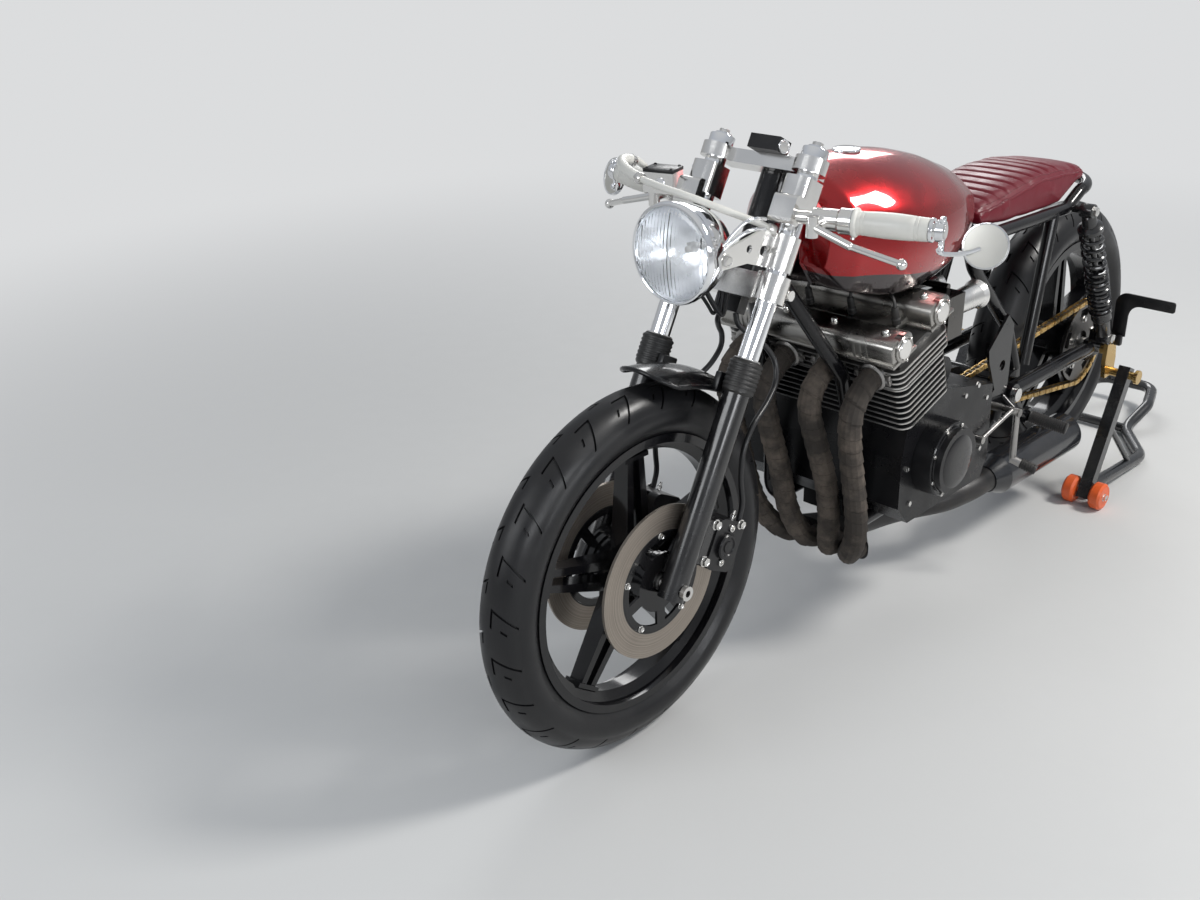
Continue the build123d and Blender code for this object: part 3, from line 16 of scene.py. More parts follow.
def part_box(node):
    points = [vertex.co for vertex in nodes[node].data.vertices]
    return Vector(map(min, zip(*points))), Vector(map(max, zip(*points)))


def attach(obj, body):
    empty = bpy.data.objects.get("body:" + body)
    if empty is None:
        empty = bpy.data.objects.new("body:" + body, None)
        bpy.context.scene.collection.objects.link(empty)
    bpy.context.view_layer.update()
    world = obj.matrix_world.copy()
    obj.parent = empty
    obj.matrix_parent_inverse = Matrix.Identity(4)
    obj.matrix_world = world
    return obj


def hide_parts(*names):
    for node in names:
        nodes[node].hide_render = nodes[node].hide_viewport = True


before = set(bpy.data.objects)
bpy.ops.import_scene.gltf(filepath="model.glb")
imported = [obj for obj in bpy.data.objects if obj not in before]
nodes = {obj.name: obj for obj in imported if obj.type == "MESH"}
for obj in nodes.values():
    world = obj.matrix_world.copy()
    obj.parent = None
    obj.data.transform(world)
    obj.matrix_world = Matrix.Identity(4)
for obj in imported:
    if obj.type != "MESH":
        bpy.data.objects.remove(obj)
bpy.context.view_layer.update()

# %% [markdown]
# ## Small helpers
# Each finished piece keeps its object at the origin with its place in its mesh, as the CAD nodes
# do. So a piece is modelled where it is easy, such as round the Z axis, then turned into place,
# and its turn is applied. Sizes are in millimetres. Places are in metres, and mm() turns a point
# of the machine's own layout into one. SIDES are the signs of Y on its right and left.

# %% Helpers for selecting and editing
ROW_X = 628
SIDES = (-1, 1)
LOOK = {}


def mm(x, y, z):
    """A point of the machine's layout, in millimetres from under its rear axle, as row metres."""
    return Vector(((x - ROW_X) / 1000, y / 1000, z / 1000))


def only(obj):
    bpy.ops.object.select_all(action="DESELECT")
    obj.select_set(True)
    bpy.context.view_layer.objects.active = obj


def edit(obj, kind="VERT", action="DESELECT"):
    only(obj)
    bpy.ops.object.mode_set(mode="EDIT")
    bpy.ops.mesh.select_mode(type=kind)
    bpy.ops.mesh.select_all(action=action)


def leave():
    bpy.ops.object.mode_set(mode="OBJECT")


def pick(obj, kind, test):
    """Selects the faces or edges that pass the test, and stays in edit mode."""
    edit(obj, kind)
    leave()
    for item in obj.data.polygons if kind == "FACE" else obj.data.edges:
        item.select = bool(test(item))
    bpy.ops.object.mode_set(mode="EDIT")


def modifier(obj, kind, **settings):
    """Adds one modifier and applies it at once."""
    only(obj)
    added = obj.modifiers.new(kind.lower(), kind)
    for key, value in settings.items():
        setattr(added, key, value)
    bpy.ops.object.modifier_apply(modifier=added.name)


print("editing helpers ready")

# %% Helpers for placing and copying
def axes(x, y, z):
    """A turn whose own axes point along x, y and z."""
    return Matrix((x, y, z)).transposed().to_4x4()


def along(origin, axis, about=(0, 0, 1)):
    """A frame whose Z is the axis, for a piece that was modelled round Z."""
    z = Vector(axis).normalized()
    x = Vector(about).cross(z)
    if x.length < 0.01:
        x = Vector((0, 1, 0)).cross(z)
    x.normalize()
    return Matrix.Translation(origin) @ axes(x, z.cross(x), z)


def put(obj, origin, axis, about=(0, 0, 1)):
    obj.data.transform(along(origin, axis, about))
    return obj


def twin(obj, matrix):
    """A copy with its own mesh, moved by the matrix."""
    made = obj.copy()
    made.data = obj.data.copy()
    bpy.context.collection.objects.link(made)
    made.data.transform(matrix)
    if matrix.determinant() < 0:
        made.data.flip_normals()
    return made


def copies(pattern, matrices):
    """One twin for each matrix. The pattern itself goes."""
    made = [twin(pattern, matrix) for matrix in matrices]
    bpy.data.objects.remove(pattern)
    return made


def join(objects):
    bpy.ops.object.select_all(action="DESELECT")
    for obj in objects:
        obj.select_set(True)
    bpy.context.view_layer.objects.active = objects[0]
    bpy.ops.object.join()
    return objects[0]


def both_sides(pieces):
    """The left pieces and their mirror images on the right, as one object."""
    whole = join(pieces)
    return join([whole, twin(whole, Matrix.Scale(-1, 4, (0, 1, 0)))])


print("placing helpers ready")

# %% Mending and handing over
def mend(obj, gap=0.00005):
    edit(obj, action="SELECT")
    bpy.ops.mesh.remove_doubles(threshold=gap)
    bpy.ops.mesh.normals_make_consistent(inside=False)
    leave()
    return obj


def hand_over(parts, name, body, look, replaces=None, angle=35):
    """The last step of every piece: its parts joined, its name, shading, finish and body."""
    obj = join(parts) if isinstance(parts, list) else parts
    obj.name = obj.data.name = name
    only(obj)
    bpy.ops.object.shade_smooth_by_angle(angle=math.radians(angle))
    obj.data.materials.clear()
    obj.data.materials.append(LOOK[look])
    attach(obj, body)
    if replaces:
        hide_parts(replaces)
    print("made", name, len(obj.data.polygons), "faces")


print("finishing helpers ready")

# %% [markdown]
# ## Turned pieces, bent tubes and blocks
# A turned piece, such as a bolt, a grip or a lamp rim, is one ring of edges that is extruded from
# step to step of its profile and resized each time, the way a lathe part is drawn. A bent tube is
# a curve with a round bevel that becomes a mesh. Both close their ends. A block is a cube with
# softened edges, the start of a machined or cast part.

# %% Turned pieces, tubes and blocks
def turned(profile, count=32, unit=1000):
    """A solid of revolution round Z from (radius, height) steps. A radius of 0 ends in a point,
    and a profile that ends where it began makes a ring with an open middle."""
    (radius, height), *steps = [(max(r / unit, 0.0003), z / unit) for r, z in profile]
    bpy.ops.mesh.primitive_circle_add(vertices=count, radius=radius, location=(0, 0, 0))
    obj = bpy.context.object
    obj.data.transform(Matrix.Translation((0, 0, height)))
    edit(obj, "EDGE", "SELECT")
    for r, z in steps:
        bpy.ops.mesh.extrude_edges_move()
        bpy.ops.transform.resize(value=(r / radius, r / radius, 1), center_override=(0, 0, 0))
        bpy.ops.transform.translate(value=(0, 0, z - height))
        radius, height = r, z
    if profile[0] != profile[-1]:
        bpy.ops.mesh.edge_face_add()
        bpy.ops.mesh.select_all(action="DESELECT")
        bpy.ops.mesh.select_non_manifold(extend=False)
        bpy.ops.mesh.edge_face_add()
    leave()
    return mend(obj, 0.000001)


def bent_tube(points, radius, resolution=6, sides=3, cyclic=False):
    """A round tube along points. sides sets how round it is: 4 + 2 * sides corners."""
    curve = bpy.data.curves.new("tube", "CURVE")
    curve.dimensions = "3D"
    curve.bevel_depth = radius / 1000
    curve.bevel_resolution = sides
    curve.use_fill_caps = not cyclic
    spline = curve.splines.new("NURBS")
    spline.points.add(len(points) - 1)
    for spot, point in zip(spline.points, points):
        spot.co = (*point, 1)
    spline.use_cyclic_u = cyclic
    spline.use_endpoint_u = not cyclic
    spline.order_u = 3
    spline.resolution_u = resolution
    obj = bpy.data.objects.new("tube", curve)
    bpy.context.collection.objects.link(obj)
    only(obj)
    bpy.ops.object.convert(target="MESH")
    return bpy.context.object


def block(size, place=(0, 0, 0), bevel=0.0, segments=2):
    bpy.ops.mesh.primitive_cube_add(size=1, location=(0, 0, 0))
    obj = bpy.context.object
    obj.data.transform(Matrix.Translation(Vector(place) / 1000) @ Matrix.Diagonal((*(Vector(size) / 1000), 1)))
    if bevel:
        modifier(obj, "BEVEL", width=bevel / 1000, segments=segments, limit_method="ANGLE")
    return obj


print("shape helpers ready")

# %% [markdown]
# ## Camera
# The photograph was taken from head height, ahead of the machine and to its left. Its eye point,
# its turn and its lens were solved from the two wheels, whose hubs and rims have known sizes. A
# camera looks along its own minus Z axis, so its axes point right, up, and backwards.

# %% Camera
EYE = Vector((2.28728, 1.32045, 1.42833))
YAW, PITCH, ROLL = (math.radians(a) for a in (-135.23, -24.38, -1.33))
SENSOR, FOCAL_PIXELS, PHOTO_PIXELS = 36, 1276.6, 1200

forward = Vector((math.cos(PITCH) * math.cos(YAW), math.cos(PITCH) * math.sin(YAW), math.sin(PITCH)))
level_right = forward.cross(Vector((0, 0, 1))).normalized()
level_up = level_right.cross(forward)
right = level_right * math.cos(ROLL) + level_up * math.sin(ROLL)
up = level_up * math.cos(ROLL) - level_right * math.sin(ROLL)
bpy.ops.object.camera_add()
camera = bpy.context.object
camera.name = "photo_camera"
camera.matrix_world = Matrix.Translation(EYE) @ axes(right, up, -forward)
camera.data.sensor_width = SENSOR
camera.data.lens = SENSOR * FOCAL_PIXELS / PHOTO_PIXELS
bpy.context.scene.camera = camera
print("camera at", tuple(round(v, 3) for v in EYE))

# %% [markdown]
# ## Node helpers
# A material is a small network of nodes. These helpers add one node each and return what it gives
# out. An input takes either a value, which is written on the socket, or another node's output,
# which is linked to it.

# %% Node helpers
def feed(node, inputs):
    for key, value in inputs.items():
        if isinstance(value, bpy.types.NodeSocket):
            node.id_data.links.new(value, node.inputs[key])
        else:
            node.inputs[key].default_value = value


def add(tree, kind, inputs=None, **settings):
    node = tree.nodes.new("ShaderNode" + kind)
    for key, value in settings.items():
        setattr(node, key, value)
    feed(node, inputs or {})
    return node


def calc(tree, operation, *values):
    return add(tree, "Math", dict(enumerate(values)), operation=operation).outputs[0]


def vector(tree, operation, *values):
    node = add(tree, "VectorMath", dict(enumerate(values)), operation=operation)
    return node.outputs["Value" if operation in ("LENGTH", "DOT_PRODUCT") else "Vector"]


def noise(tree, place, scale, detail, **more):
    return add(tree, "TexNoise", {"Vector": place, "Scale": scale, "Detail": detail, **more}).outputs[0]


def cells(tree, place, scale, feature="F1"):
    return add(tree, "TexVoronoi", {"Vector": place, "Scale": scale}, feature=feature).outputs["Distance"]


def mix(tree, share, first, second, blend="MIX"):
    return add(tree, "Mix", {0: share, 6: first, 7: second}, data_type="RGBA", blend_type=blend).outputs[2]


def step_up(tree, value, low, high, first=0.0, last=1.0):
    """first below low, last above high, and a smooth change between them."""
    limits = {"Value": value, "From Min": low, "From Max": high, "To Min": first, "To Max": last}
    return add(tree, "MapRange", limits, interpolation_type="SMOOTHSTEP").outputs["Result"]


def seen_rays(tree):
    """1 for a ray that sees the backdrop straight or through glass, and half for a mirrored one."""
    path = add(tree, "LightPath")
    share = calc(tree, "MULTIPLY", path.outputs["Is Glossy Ray"], 0.5)
    for label in ("Is Camera Ray", "Is Transmission Ray"):
        share = calc(tree, "MAXIMUM", share, path.outputs[label])
    return share


# %% [markdown]
# ## Floor and studio light
# The floor is a plain pale sheet, large enough to meet the backdrop out of view. Black paint and
# chrome show mainly what they mirror, so the room is a soft pale world with four big lamps: a key
# lamp high behind the machine's left, where the sun stood, a long strip along the left side that
# draws the highlights on the forks, the tank and the frame tubes, and a fill in front and behind.

# %% Floor, lamps and world
bpy.ops.mesh.primitive_plane_add(size=30, location=(0, 0, 0))
floor = bpy.context.object
floor.name = "studio_floor"

# name: place, aim, size, watts, tint
LAMPS = {
    "key_lamp": ((-1.6, 2.2, 3.4), (0.1, 0, 0.5), (0.9, 0.9), 128, (1, 0.98, 0.95)),
    "side_strip": ((1.4, 3.2, 1.5), (0.2, 0, 0.6), (3.2, 0.5), 44, (0.95, 0.97, 1)),
    "front_fill": ((4.2, -0.6, 2.4), (0.4, 0, 0.5), (2.4, 1.4), 52, (0.96, 0.98, 1)),
    "back_fill": ((-3.2, -2.4, 2.6), (-0.2, 0, 0.5), (2.0, 1.4), 52, (1, 1, 1)),
}
for name, (place, aim, size, watts, tint) in LAMPS.items():
    bpy.ops.object.light_add(type="AREA", location=place)
    lamp = bpy.context.object
    lamp.name = name
    lamp.data.shape = "RECTANGLE"
    lamp.data.size, lamp.data.size_y = size
    lamp.data.energy, lamp.data.color = watts, tint
    lamp.rotation_euler = (Vector(aim) - Vector(place)).to_track_quat("-Z", "Y").to_euler()

GLOW = {"Color": (0.84, 0.85, 0.86, 1), "Strength": 0.85}
world = bpy.context.scene.world or bpy.data.worlds.new("studio")
bpy.context.scene.world = world
world.use_nodes = True
sky = world.node_tree
sky.nodes.clear()
height = add(sky, "SeparateXYZ", {0: add(sky, "TexCoord").outputs["Generated"]}).outputs["Z"]
ramp = add(sky, "ValToRGB", {0: height})
low, middle = ramp.color_ramp.elements
low.position, low.color = 0.02, (0.10, 0.11, 0.12, 1)
middle.position, middle.color = 0.55, (0.45, 0.54, 0.70, 1)
ramp.color_ramp.elements.new(0.9).color = (0.95, 0.98, 1.0, 1)
light = add(sky, "Background", {"Color": ramp.outputs[0], "Strength": 0.42})
seen = add(sky, "Background", GLOW)
both = add(sky, "MixShader", {0: seen_rays(sky), 1: light.outputs[0], 2: seen.outputs[0]})
add(sky, "OutputWorld", {"Surface": both.outputs[0]})
bpy.context.scene.view_settings.view_transform = "Standard"
print("lamps", list(LAMPS))

# %% [markdown]
# ## Shared effects as node groups
# Most finishes need the same few effects: fine grain in cast or moulded parts that also varies
# the gloss, turned rings in machined discs, and dust in patches. Each effect is one node group
# with its own sockets, so a material only sets the amounts. The groups give out values, colours
# and heights. The shader itself stays in each material.

# %% Node groups
KINDS = {type(None): "NodeSocketVector", float: "NodeSocketFloat", tuple: "NodeSocketColor"}


def new_group(name, inputs, outputs):
    """A group from the default value of each socket. None stands for a place."""
    tree = bpy.data.node_groups.new(name, "ShaderNodeTree")
    for way, sockets in (("INPUT", inputs), ("OUTPUT", outputs)):
        for label, value in sockets.items():
            socket = tree.interface.new_socket(label, in_out=way, socket_type=KINDS[type(value)])
            if value is not None:
                socket.default_value = value
    return tree, tree.nodes.new("NodeGroupInput").outputs, tree.nodes.new("NodeGroupOutput")


grain, given, result = new_group(
    "cast_grain", {"Place": None, "Size": 900.0, "Low": 0.3, "High": 0.5}, {"Roughness": 0.0, "Height": 0.0})
spread = step_up(grain, noise(grain, given["Place"], 14.0, 4.0), 0.35, 0.65)
span = calc(grain, "SUBTRACT", given["High"], given["Low"])
feed(result, {"Roughness": calc(grain, "MULTIPLY_ADD", spread, span, given["Low"]),
              "Height": noise(grain, given["Place"], given["Size"], 3.0)})

rings, given, result = new_group("turned_rings", {"Place": None, "Pitch": 900.0}, {"Height": 0.0, "Radius": 0.0})
radius = vector(rings, "LENGTH", vector(rings, "MULTIPLY", given["Place"], (1, 0, 1)))
along_radius = {"W": calc(rings, "MULTIPLY", radius, given["Pitch"]), "Detail": 3.0, "Scale": 1.0}
height = add(rings, "TexNoise", along_radius, noise_dimensions="1D").outputs[0]
feed(result, {"Height": height, "Radius": radius})

dust, given, result = new_group(
    "road_dust", {"Place": None, "Colour": (0.02, 0.02, 0.02, 1), "Dust": (0.16, 0.14, 0.12, 1), "Amount": 0.2},
    {"Colour": (0.0, 0.0, 0.0, 1)})
patch = step_up(dust, noise(dust, given["Place"], 9.0, 8.0, Roughness=0.7), 0.42, 0.72)
share = calc(dust, "MULTIPLY", patch, given["Amount"])
feed(result, {"Colour": mix(dust, share, given["Colour"], given["Dust"])})
print("groups", [g.name for g in bpy.data.node_groups])

# %% [markdown]
# ## Starting a material
# Every material begins the same way: a Principled shader, the object's own coordinates, a grain
# that varies its roughness from low to high, a bump, and dust. What is the same all over, such as
# the coat's roughness, is set straight on the shader's sockets.

# %% Material starter
def start(name, colour, low=0.3, high=0.5, size=900, bump=0.05, dusty=0.0, dust_colour=(0.16, 0.14, 0.12),
          metallic=0.0, coat=0.0, coat_rough=0.05, specular=0.5):
    """Keeps a new material in LOOK, and returns the nodes that a richer one builds on."""
    material = LOOK[name] = bpy.data.materials.new(name)
    material.use_nodes = True
    tree = material.node_tree
    shader = tree.nodes["Principled BSDF"]
    place = add(tree, "TexCoord").outputs["Object"]
    fine = add(tree, "Group", node_tree=grain)
    feed(fine, {"Place": place, "Size": size, "Low": low, "High": high})
    relief = add(tree, "Bump", {"Height": fine.outputs["Height"], "Strength": bump, "Distance": 0.0004})
    dirt = add(tree, "Group", node_tree=dust)
    feed(dirt, {"Place": place, "Colour": (*colour, 1), "Dust": (*dust_colour, 1), "Amount": dusty})
    feed(shader, {
        "Metallic": metallic, "Coat Weight": coat, "Coat Roughness": coat_rough, "Specular IOR Level": specular,
        "Roughness": fine.outputs["Roughness"], "Normal": relief.outputs[0], "Base Color": dirt.outputs["Colour"]})
    return tree, shader, place, dirt.outputs["Colour"], relief


# %% [markdown]
# ## Paint, rubber and metal
# The frame, the wheels and the swingarm are gloss black enamel, so their own colour is nearly
# black and the clear coat carries the look. Rubber is a soft dark grey with a broad highlight.
# Polished alloy is a little warm and never quite even, while chrome is bluish and mirror smooth.

# %% The plain finishes
BLACK, COAL, GREY_DUST = (0.004, 0.004, 0.005), (0.008, 0.008, 0.009), (0.04, 0.037, 0.033)
ALLOY, DULL = (0.80, 0.79, 0.77), (0.11, 0.105, 0.10)

# name, colour, least and most roughness, grain size, bump, dust, and what else differs
start("gloss_black", BLACK, 0.16, 0.28, 300, 0.02, 0.04, coat=0.35, specular=0.25)
start("wheel_black", BLACK, 0.14, 0.26, 300, 0.02, 0.03, coat=0.35, coat_rough=0.06, specular=0.25)
start("fork_black", COAL, 0.2, 0.32, 500, 0.04, 0.05, coat=0.5, coat_rough=0.1)
start("satin_black", (0.007, 0.007, 0.008), 0.28, 0.42, 1500, 0.12, 0.1, (0.08, 0.075, 0.07), specular=0.4)
start("engine_black", (0.006, 0.006, 0.007), 0.22, 0.38, 1400, 0.16, 0.15, (0.035, 0.033, 0.03), specular=0.3)
start("stand_black", (0.010, 0.011, 0.013), 0.18, 0.34, 700, 0.06, 0.15, coat=0.4, coat_rough=0.12)
start("shock_black", (0.009, 0.009, 0.010), 0.18, 0.3, 500, 0.04, coat=0.5, coat_rough=0.1)
start("muffler_black", (0.010, 0.011, 0.014), 0.14, 0.26, 500, 0.03, 0.12, coat=0.5, coat_rough=0.08)
start("tyre_rubber", COAL, 0.30, 0.46, 2200, 0.14, 0.10, (0.045, 0.043, 0.04), specular=0.4)
start("soft_rubber", (0.012, 0.012, 0.012), 0.42, 0.58, 1800, 0.2, 0.1)
start("peg_rubber", (0.016, 0.015, 0.015), 0.45, 0.6, 1500, 0.2, 0.15)
start("hose_black", (0.012, 0.012, 0.013), 0.3, 0.42, 1400, 0.08)
start("cable_white", (0.72, 0.71, 0.66), 0.3, 0.42, 700, 0.05, 0.15, (0.42, 0.40, 0.34))
start("roller_orange", (0.74, 0.115, 0.025), 0.3, 0.45, 900, 0.06, 0.25, (0.25, 0.1, 0.05))
start("seat_thread", (0.09, 0.006, 0.010), 0.5, 0.7, 3000, 0.3)
start("pipe_black", (0.016, 0.015, 0.015), 0.34, 0.5, 1400, 0.12, 0.35, (0.075, 0.06, 0.05))

METALS = {
    "chrome": ((0.86, 0.87, 0.89), 0.03, 0.07, 200, 0.004),
    "silvered": ((0.92, 0.93, 0.95), 0.26, 0.34, 200, 0.0),
    "mirror_glass": ((0.83, 0.84, 0.84), 0.02, 0.05, 100, 0.0, 0.12, (0.5, 0.5, 0.48)),
    "polished_alloy": (ALLOY, 0.12, 0.24, 600, 0.03, 0.05, (0.4, 0.39, 0.37)),
    "worn_alloy": ((0.40, 0.39, 0.37), 0.22, 0.36, 1100, 0.10, 0.3, (0.12, 0.11, 0.10)),
    "bare_steel": ((0.36, 0.35, 0.34), 0.24, 0.4, 900, 0.05, 0.15, (0.22, 0.2, 0.18)),
    "dark_steel": (DULL, 0.25, 0.42, 900, 0.06, 0.3, GREY_DUST),
    "roller_steel": ((0.42, 0.38, 0.32), 0.25, 0.4, 900, 0.05, 0.4, (0.06, 0.05, 0.04)),
    "zinc_bolt": ((0.70, 0.69, 0.67), 0.2, 0.34, 900, 0.04),
    "hook_gold": ((0.62, 0.42, 0.16), 0.22, 0.38, 900, 0.05, 0.1),
    "chain_gold": ((0.66, 0.45, 0.17), 0.24, 0.42, 900, 0.05, 0.4, (0.10, 0.075, 0.04)),
}
for name, looks in METALS.items():
    start(name, *looks, metallic=1.0)
start("pale_back", (0.60, 0.59, 0.55), 0.34, 0.46, 1400, 0.06, 0.15, (0.45, 0.43, 0.37), metallic=0.7)
print("plain finishes", len(LOOK))

# %% [markdown]
# ## Finishes that change from place to place
# Some nodes carry two finishes, as real parts do. The brake disc is a scratched tan ring on a
# black carrier, so its colour changes with the distance from the axle. Brake dust and pad marks
# run in circles, which the turned rings group gives. The carburettors are dull grey, but their
# intake bells, behind a plane across X, are polished. The floor fades to the backdrop's glow.

# %% Brake discs, carburettors, glass and floor
def disc_metal(name, axle, inner):
    tree, shader, place, colour, relief = start(name, (0.36, 0.315, 0.27), 0.36, 0.48, dusty=0.12)
    turned_marks = add(tree, "Group", node_tree=rings)
    feed(turned_marks, {"Place": vector(tree, "SUBTRACT", place, axle), "Pitch": 620.0})
    ring = step_up(tree, turned_marks.outputs["Radius"], inner, inner + 0.0006)
    streaks = step_up(tree, turned_marks.outputs["Height"], 0.35, 0.65, 0.72, 1.1)
    tan = mix(tree, 1.0, colour, streaks, "MULTIPLY")
    feed(shader, {"Base Color": mix(tree, ring, (*COAL, 1), tan), "Metallic": calc(tree, "MULTIPLY", ring, 0.85)})
    feed(relief, {"Height": turned_marks.outputs["Height"], "Strength": 0.25})


disc_metal("front_disc_metal", (0.887, 0, 0.331), 0.094)
disc_metal("rear_disc_metal", (-0.628, 0, 0.356), 0.102)

tree, shader, place, colour, relief = start(
    "carb_metal", DULL, 0.14, 0.28, dusty=0.3, dust_colour=GREY_DUST, metallic=1.0)
in_front = step_up(tree, add(tree, "SeparateXYZ", {0: place}).outputs["X"], 0.131, 0.133)
feed(shader, {"Base Color": mix(tree, in_front, (*ALLOY, 1), colour)})

lens_glass = LOOK["lens_glass"] = bpy.data.materials.new("lens_glass")
lens_glass.use_nodes = True
tree = lens_glass.node_tree
haze = noise(tree, add(tree, "TexCoord").outputs["Object"], 30.0, 4.0)
feed(tree.nodes["Principled BSDF"], {
    "Base Color": (0.97, 0.985, 1.0, 1), "Transmission Weight": 1.0, "IOR": 1.45,
    "Roughness": step_up(tree, haze, 0.4, 0.7, 0.01, 0.06)})

tree, shader, place, colour, relief = start("floor_card", (0.60, 0.60, 0.59), 0.75, 0.9, 200, 0.04)
far = calc(tree, "MULTIPLY", step_up(tree, vector(tree, "LENGTH", place), 1.2, 4.5), seen_rays(tree))
both = add(tree, "MixShader", {0: far, 1: shader.outputs[0], 2: add(tree, "Emission", GLOW).outputs[0]})
feed(tree.nodes["Material Output"], {"Surface": both.outputs[0]})
floor.data.materials.append(LOOK["floor_card"])
print("discs, carburettors, glass and floor ready")

# %% [markdown]
# ## The tank's paint
# The tank is candy red: silver flakes under a clear red coat, so it glows bright where it faces
# the light and falls to a deep wine red at its sides. Below a line that drops towards the middle
# it is black. The line follows the tank's length, so the mask compares the height with a curve
# over X. A red coat tint deepens the colour where light crosses the coat at a slant.

# %% Candy red over black
tree, shader, place, colour, relief = start(
    "tank_paint", (0.42, 0.004, 0.006), 0.2, 0.3, 2600, 0.03, coat=1.0, coat_rough=0.03)
sparkle = step_up(tree, cells(tree, place, 2600.0), 0.1, 0.6, 0.75, 1.1)
flaked = mix(tree, 1.0, (0.34, 0.003, 0.006, 1), sparkle, "MULTIPLY")
TANK_LINE = ((1.095, 0.772), (1.02, 0.768), (0.92, 0.752), (0.80, 0.737), (0.70, 0.742), (0.62, 0.765), (0.55, 0.80))
LINE_X, LINE_LONG, LINE_Z, LINE_TALL = 0.55, 0.55, 0.7, 0.2
spot = add(tree, "SeparateXYZ", {0: place}).outputs
row_x = LINE_X - ROW_X / 1000
share = add(tree, "MapRange", {"Value": spot["X"], "From Min": row_x, "From Max": row_x + LINE_LONG})
line = add(tree, "FloatCurve", {"Value": share.outputs[0]})
curve = line.mapping.curves[0]
curve.points[0].location = (0, (TANK_LINE[-1][1] - LINE_Z) / LINE_TALL)
curve.points[1].location = (1, (TANK_LINE[0][1] - LINE_Z) / LINE_TALL)
for x, z in TANK_LINE[1:-1]:
    curve.points.new((x - LINE_X) / LINE_LONG, (z - LINE_Z) / LINE_TALL)
line.mapping.update()
over_line = calc(tree, "SUBTRACT", spot["Z"], calc(tree, "MULTIPLY_ADD", line.outputs[0], LINE_TALL, LINE_Z))
is_red = step_up(tree, over_line, -0.0006, 0.0006)
feed(shader, {
    "Base Color": mix(tree, is_red, (0.007, 0.007, 0.008, 1), flaked), "Coat Tint": (1.0, 0.85, 0.85, 1),
    "Metallic": calc(tree, "MULTIPLY", is_red, 0.82)})
print("tank paint ready")

# %% [markdown]
# ## Giving the CAD nodes their finish
# A node whose shape is right keeps its mesh and only gets a better material in its slots. The
# table below lists the nodes of each finish. Nodes that are replaced later are hidden then.

# %% Finishes of the carried-over nodes
FINISH = {
    "wheel_black": "front_wheel rear_wheel",
    "tyre_rubber": "front_tyre rear_tyre",
    "front_disc_metal": "front_discs",
    "rear_disc_metal": "rear_disc",
    "dark_steel": "rear_sprocket",
    "bare_steel": "front_sprocket shift_lever brake_pedal",
    "zinc_bolt": "front_axle rear_axle pivot_bolt",
    "chrome": "fork_tubes headlight mirrors filler_cap",
    "fork_black": "fork_sliders",
    "polished_alloy": "lower_clamp top_clamp headlight_ears handlebars switch_housings brake_lever clutch_lever",
    "lens_glass": "headlight_lens",
    "cable_white": "grips throttle_cable",
    "satin_black": "gauge front_calipers rear_caliper plate_bracket",
    "hose_black": "brake_hoses",
    "gloss_black": "front_fender main_frame seat_rail swingarm footrest_plates",
    "tank_paint": "fuel_tank",
    "soft_rubber": "seat",
    "shock_black": "shock_absorbers",
    "engine_black": "crankcase cylinders cylinder_head cam_covers",
    "carb_metal": "carburettors",
    "pipe_black": "exhaust_headers exhaust_collector",
    "muffler_black": "muffler",
    "chain_gold": "drive_chain",
    "peg_rubber": "footpegs",
    "stand_black": "stand_frame",
    "hook_gold": "stand_hooks",
    "roller_orange": "stand_wheels_left stand_wheels_right",
}
finished = set()
for look, names in FINISH.items():
    for name in names.split():
        obj = nodes[name]
        finished.add(name)
        if not obj.material_slots:
            obj.data.materials.append(LOOK[look])
        for slot in obj.material_slots:
            slot.material = LOOK[look]
print("finished", len(finished), "nodes, missing", sorted(set(nodes) - finished))

# %% [markdown]
# ## Wrapped grids
# A tank, a tyre and a seat are skins with a changing section. The plainest start for each is a
# flat grid, whose columns run round the section and whose rows run along the piece. Each of its
# points is then moved to its place on the skin, as cloth is laid round a buck, and the two long
# edges are welded where they meet. Positions between the measured sections come from a smooth
# curve through them, so no facet shows.

# %% Grid helpers
def through(points, t):
    """A point on the smooth curve through a list of tuples. t runs from 0 to 1."""
    last = len(points) - 1
    place = min(max(t, 0.0), 1.0) * last
    i = min(int(place), last - 1)
    f = place - i
    four = (points[min(max(k, 0), last)] for k in (i - 1, i, i + 1, i + 2))
    return tuple(
        0.5 * (2 * q + (r - p) * f + (2 * p - 5 * q + 4 * r - s) * f * f + (3 * q - p - 3 * r + s) * f**3)
        for p, q, r, s in zip(*four))


def grid(columns, rows):
    bpy.ops.mesh.primitive_grid_add(x_subdivisions=columns, y_subdivisions=rows, size=2, location=(0, 0, 0))
    return bpy.context.object


def wrapped(columns, rows, place_of):
    """A grid whose point at (u, v), each from 0 to 1, moves to place_of(u, v)."""
    obj = grid(columns, rows)
    for vertex in obj.data.vertices:
        vertex.co = place_of((vertex.co.x + 1) / 2, (vertex.co.y + 1) / 2)
    return obj


def close_ends(obj):
    """Welds the seam, fills every open edge loop and mends the normals."""
    edit(obj, "EDGE", "SELECT")
    bpy.ops.mesh.remove_doubles(threshold=0.00002)
    bpy.ops.mesh.select_all(action="DESELECT")
    bpy.ops.mesh.select_non_manifold(extend=False)
    bpy.ops.mesh.edge_face_add()
    bpy.ops.mesh.select_all(action="SELECT")
    bpy.ops.mesh.normals_make_consistent(inside=False)
    leave()
    return obj


def half_way_round(u):
    """The side, and how far along a half section that runs from the bottom to the top."""
    return (1, 2 * u) if u < 0.5 else (-1, 2 - 2 * u)


# %% [markdown]
# ## The tank
# The real tank is two pressed halves welded along a low seam: widest ahead of the middle, with a
# broad domed top, nearly upright sides and a black underside that tucks in. A tunnel under it
# clears the frame's backbone. Sections at seven stations give its half width, its lowest and its
# highest line, and the grid follows one half section from the tunnel to the crown and back.

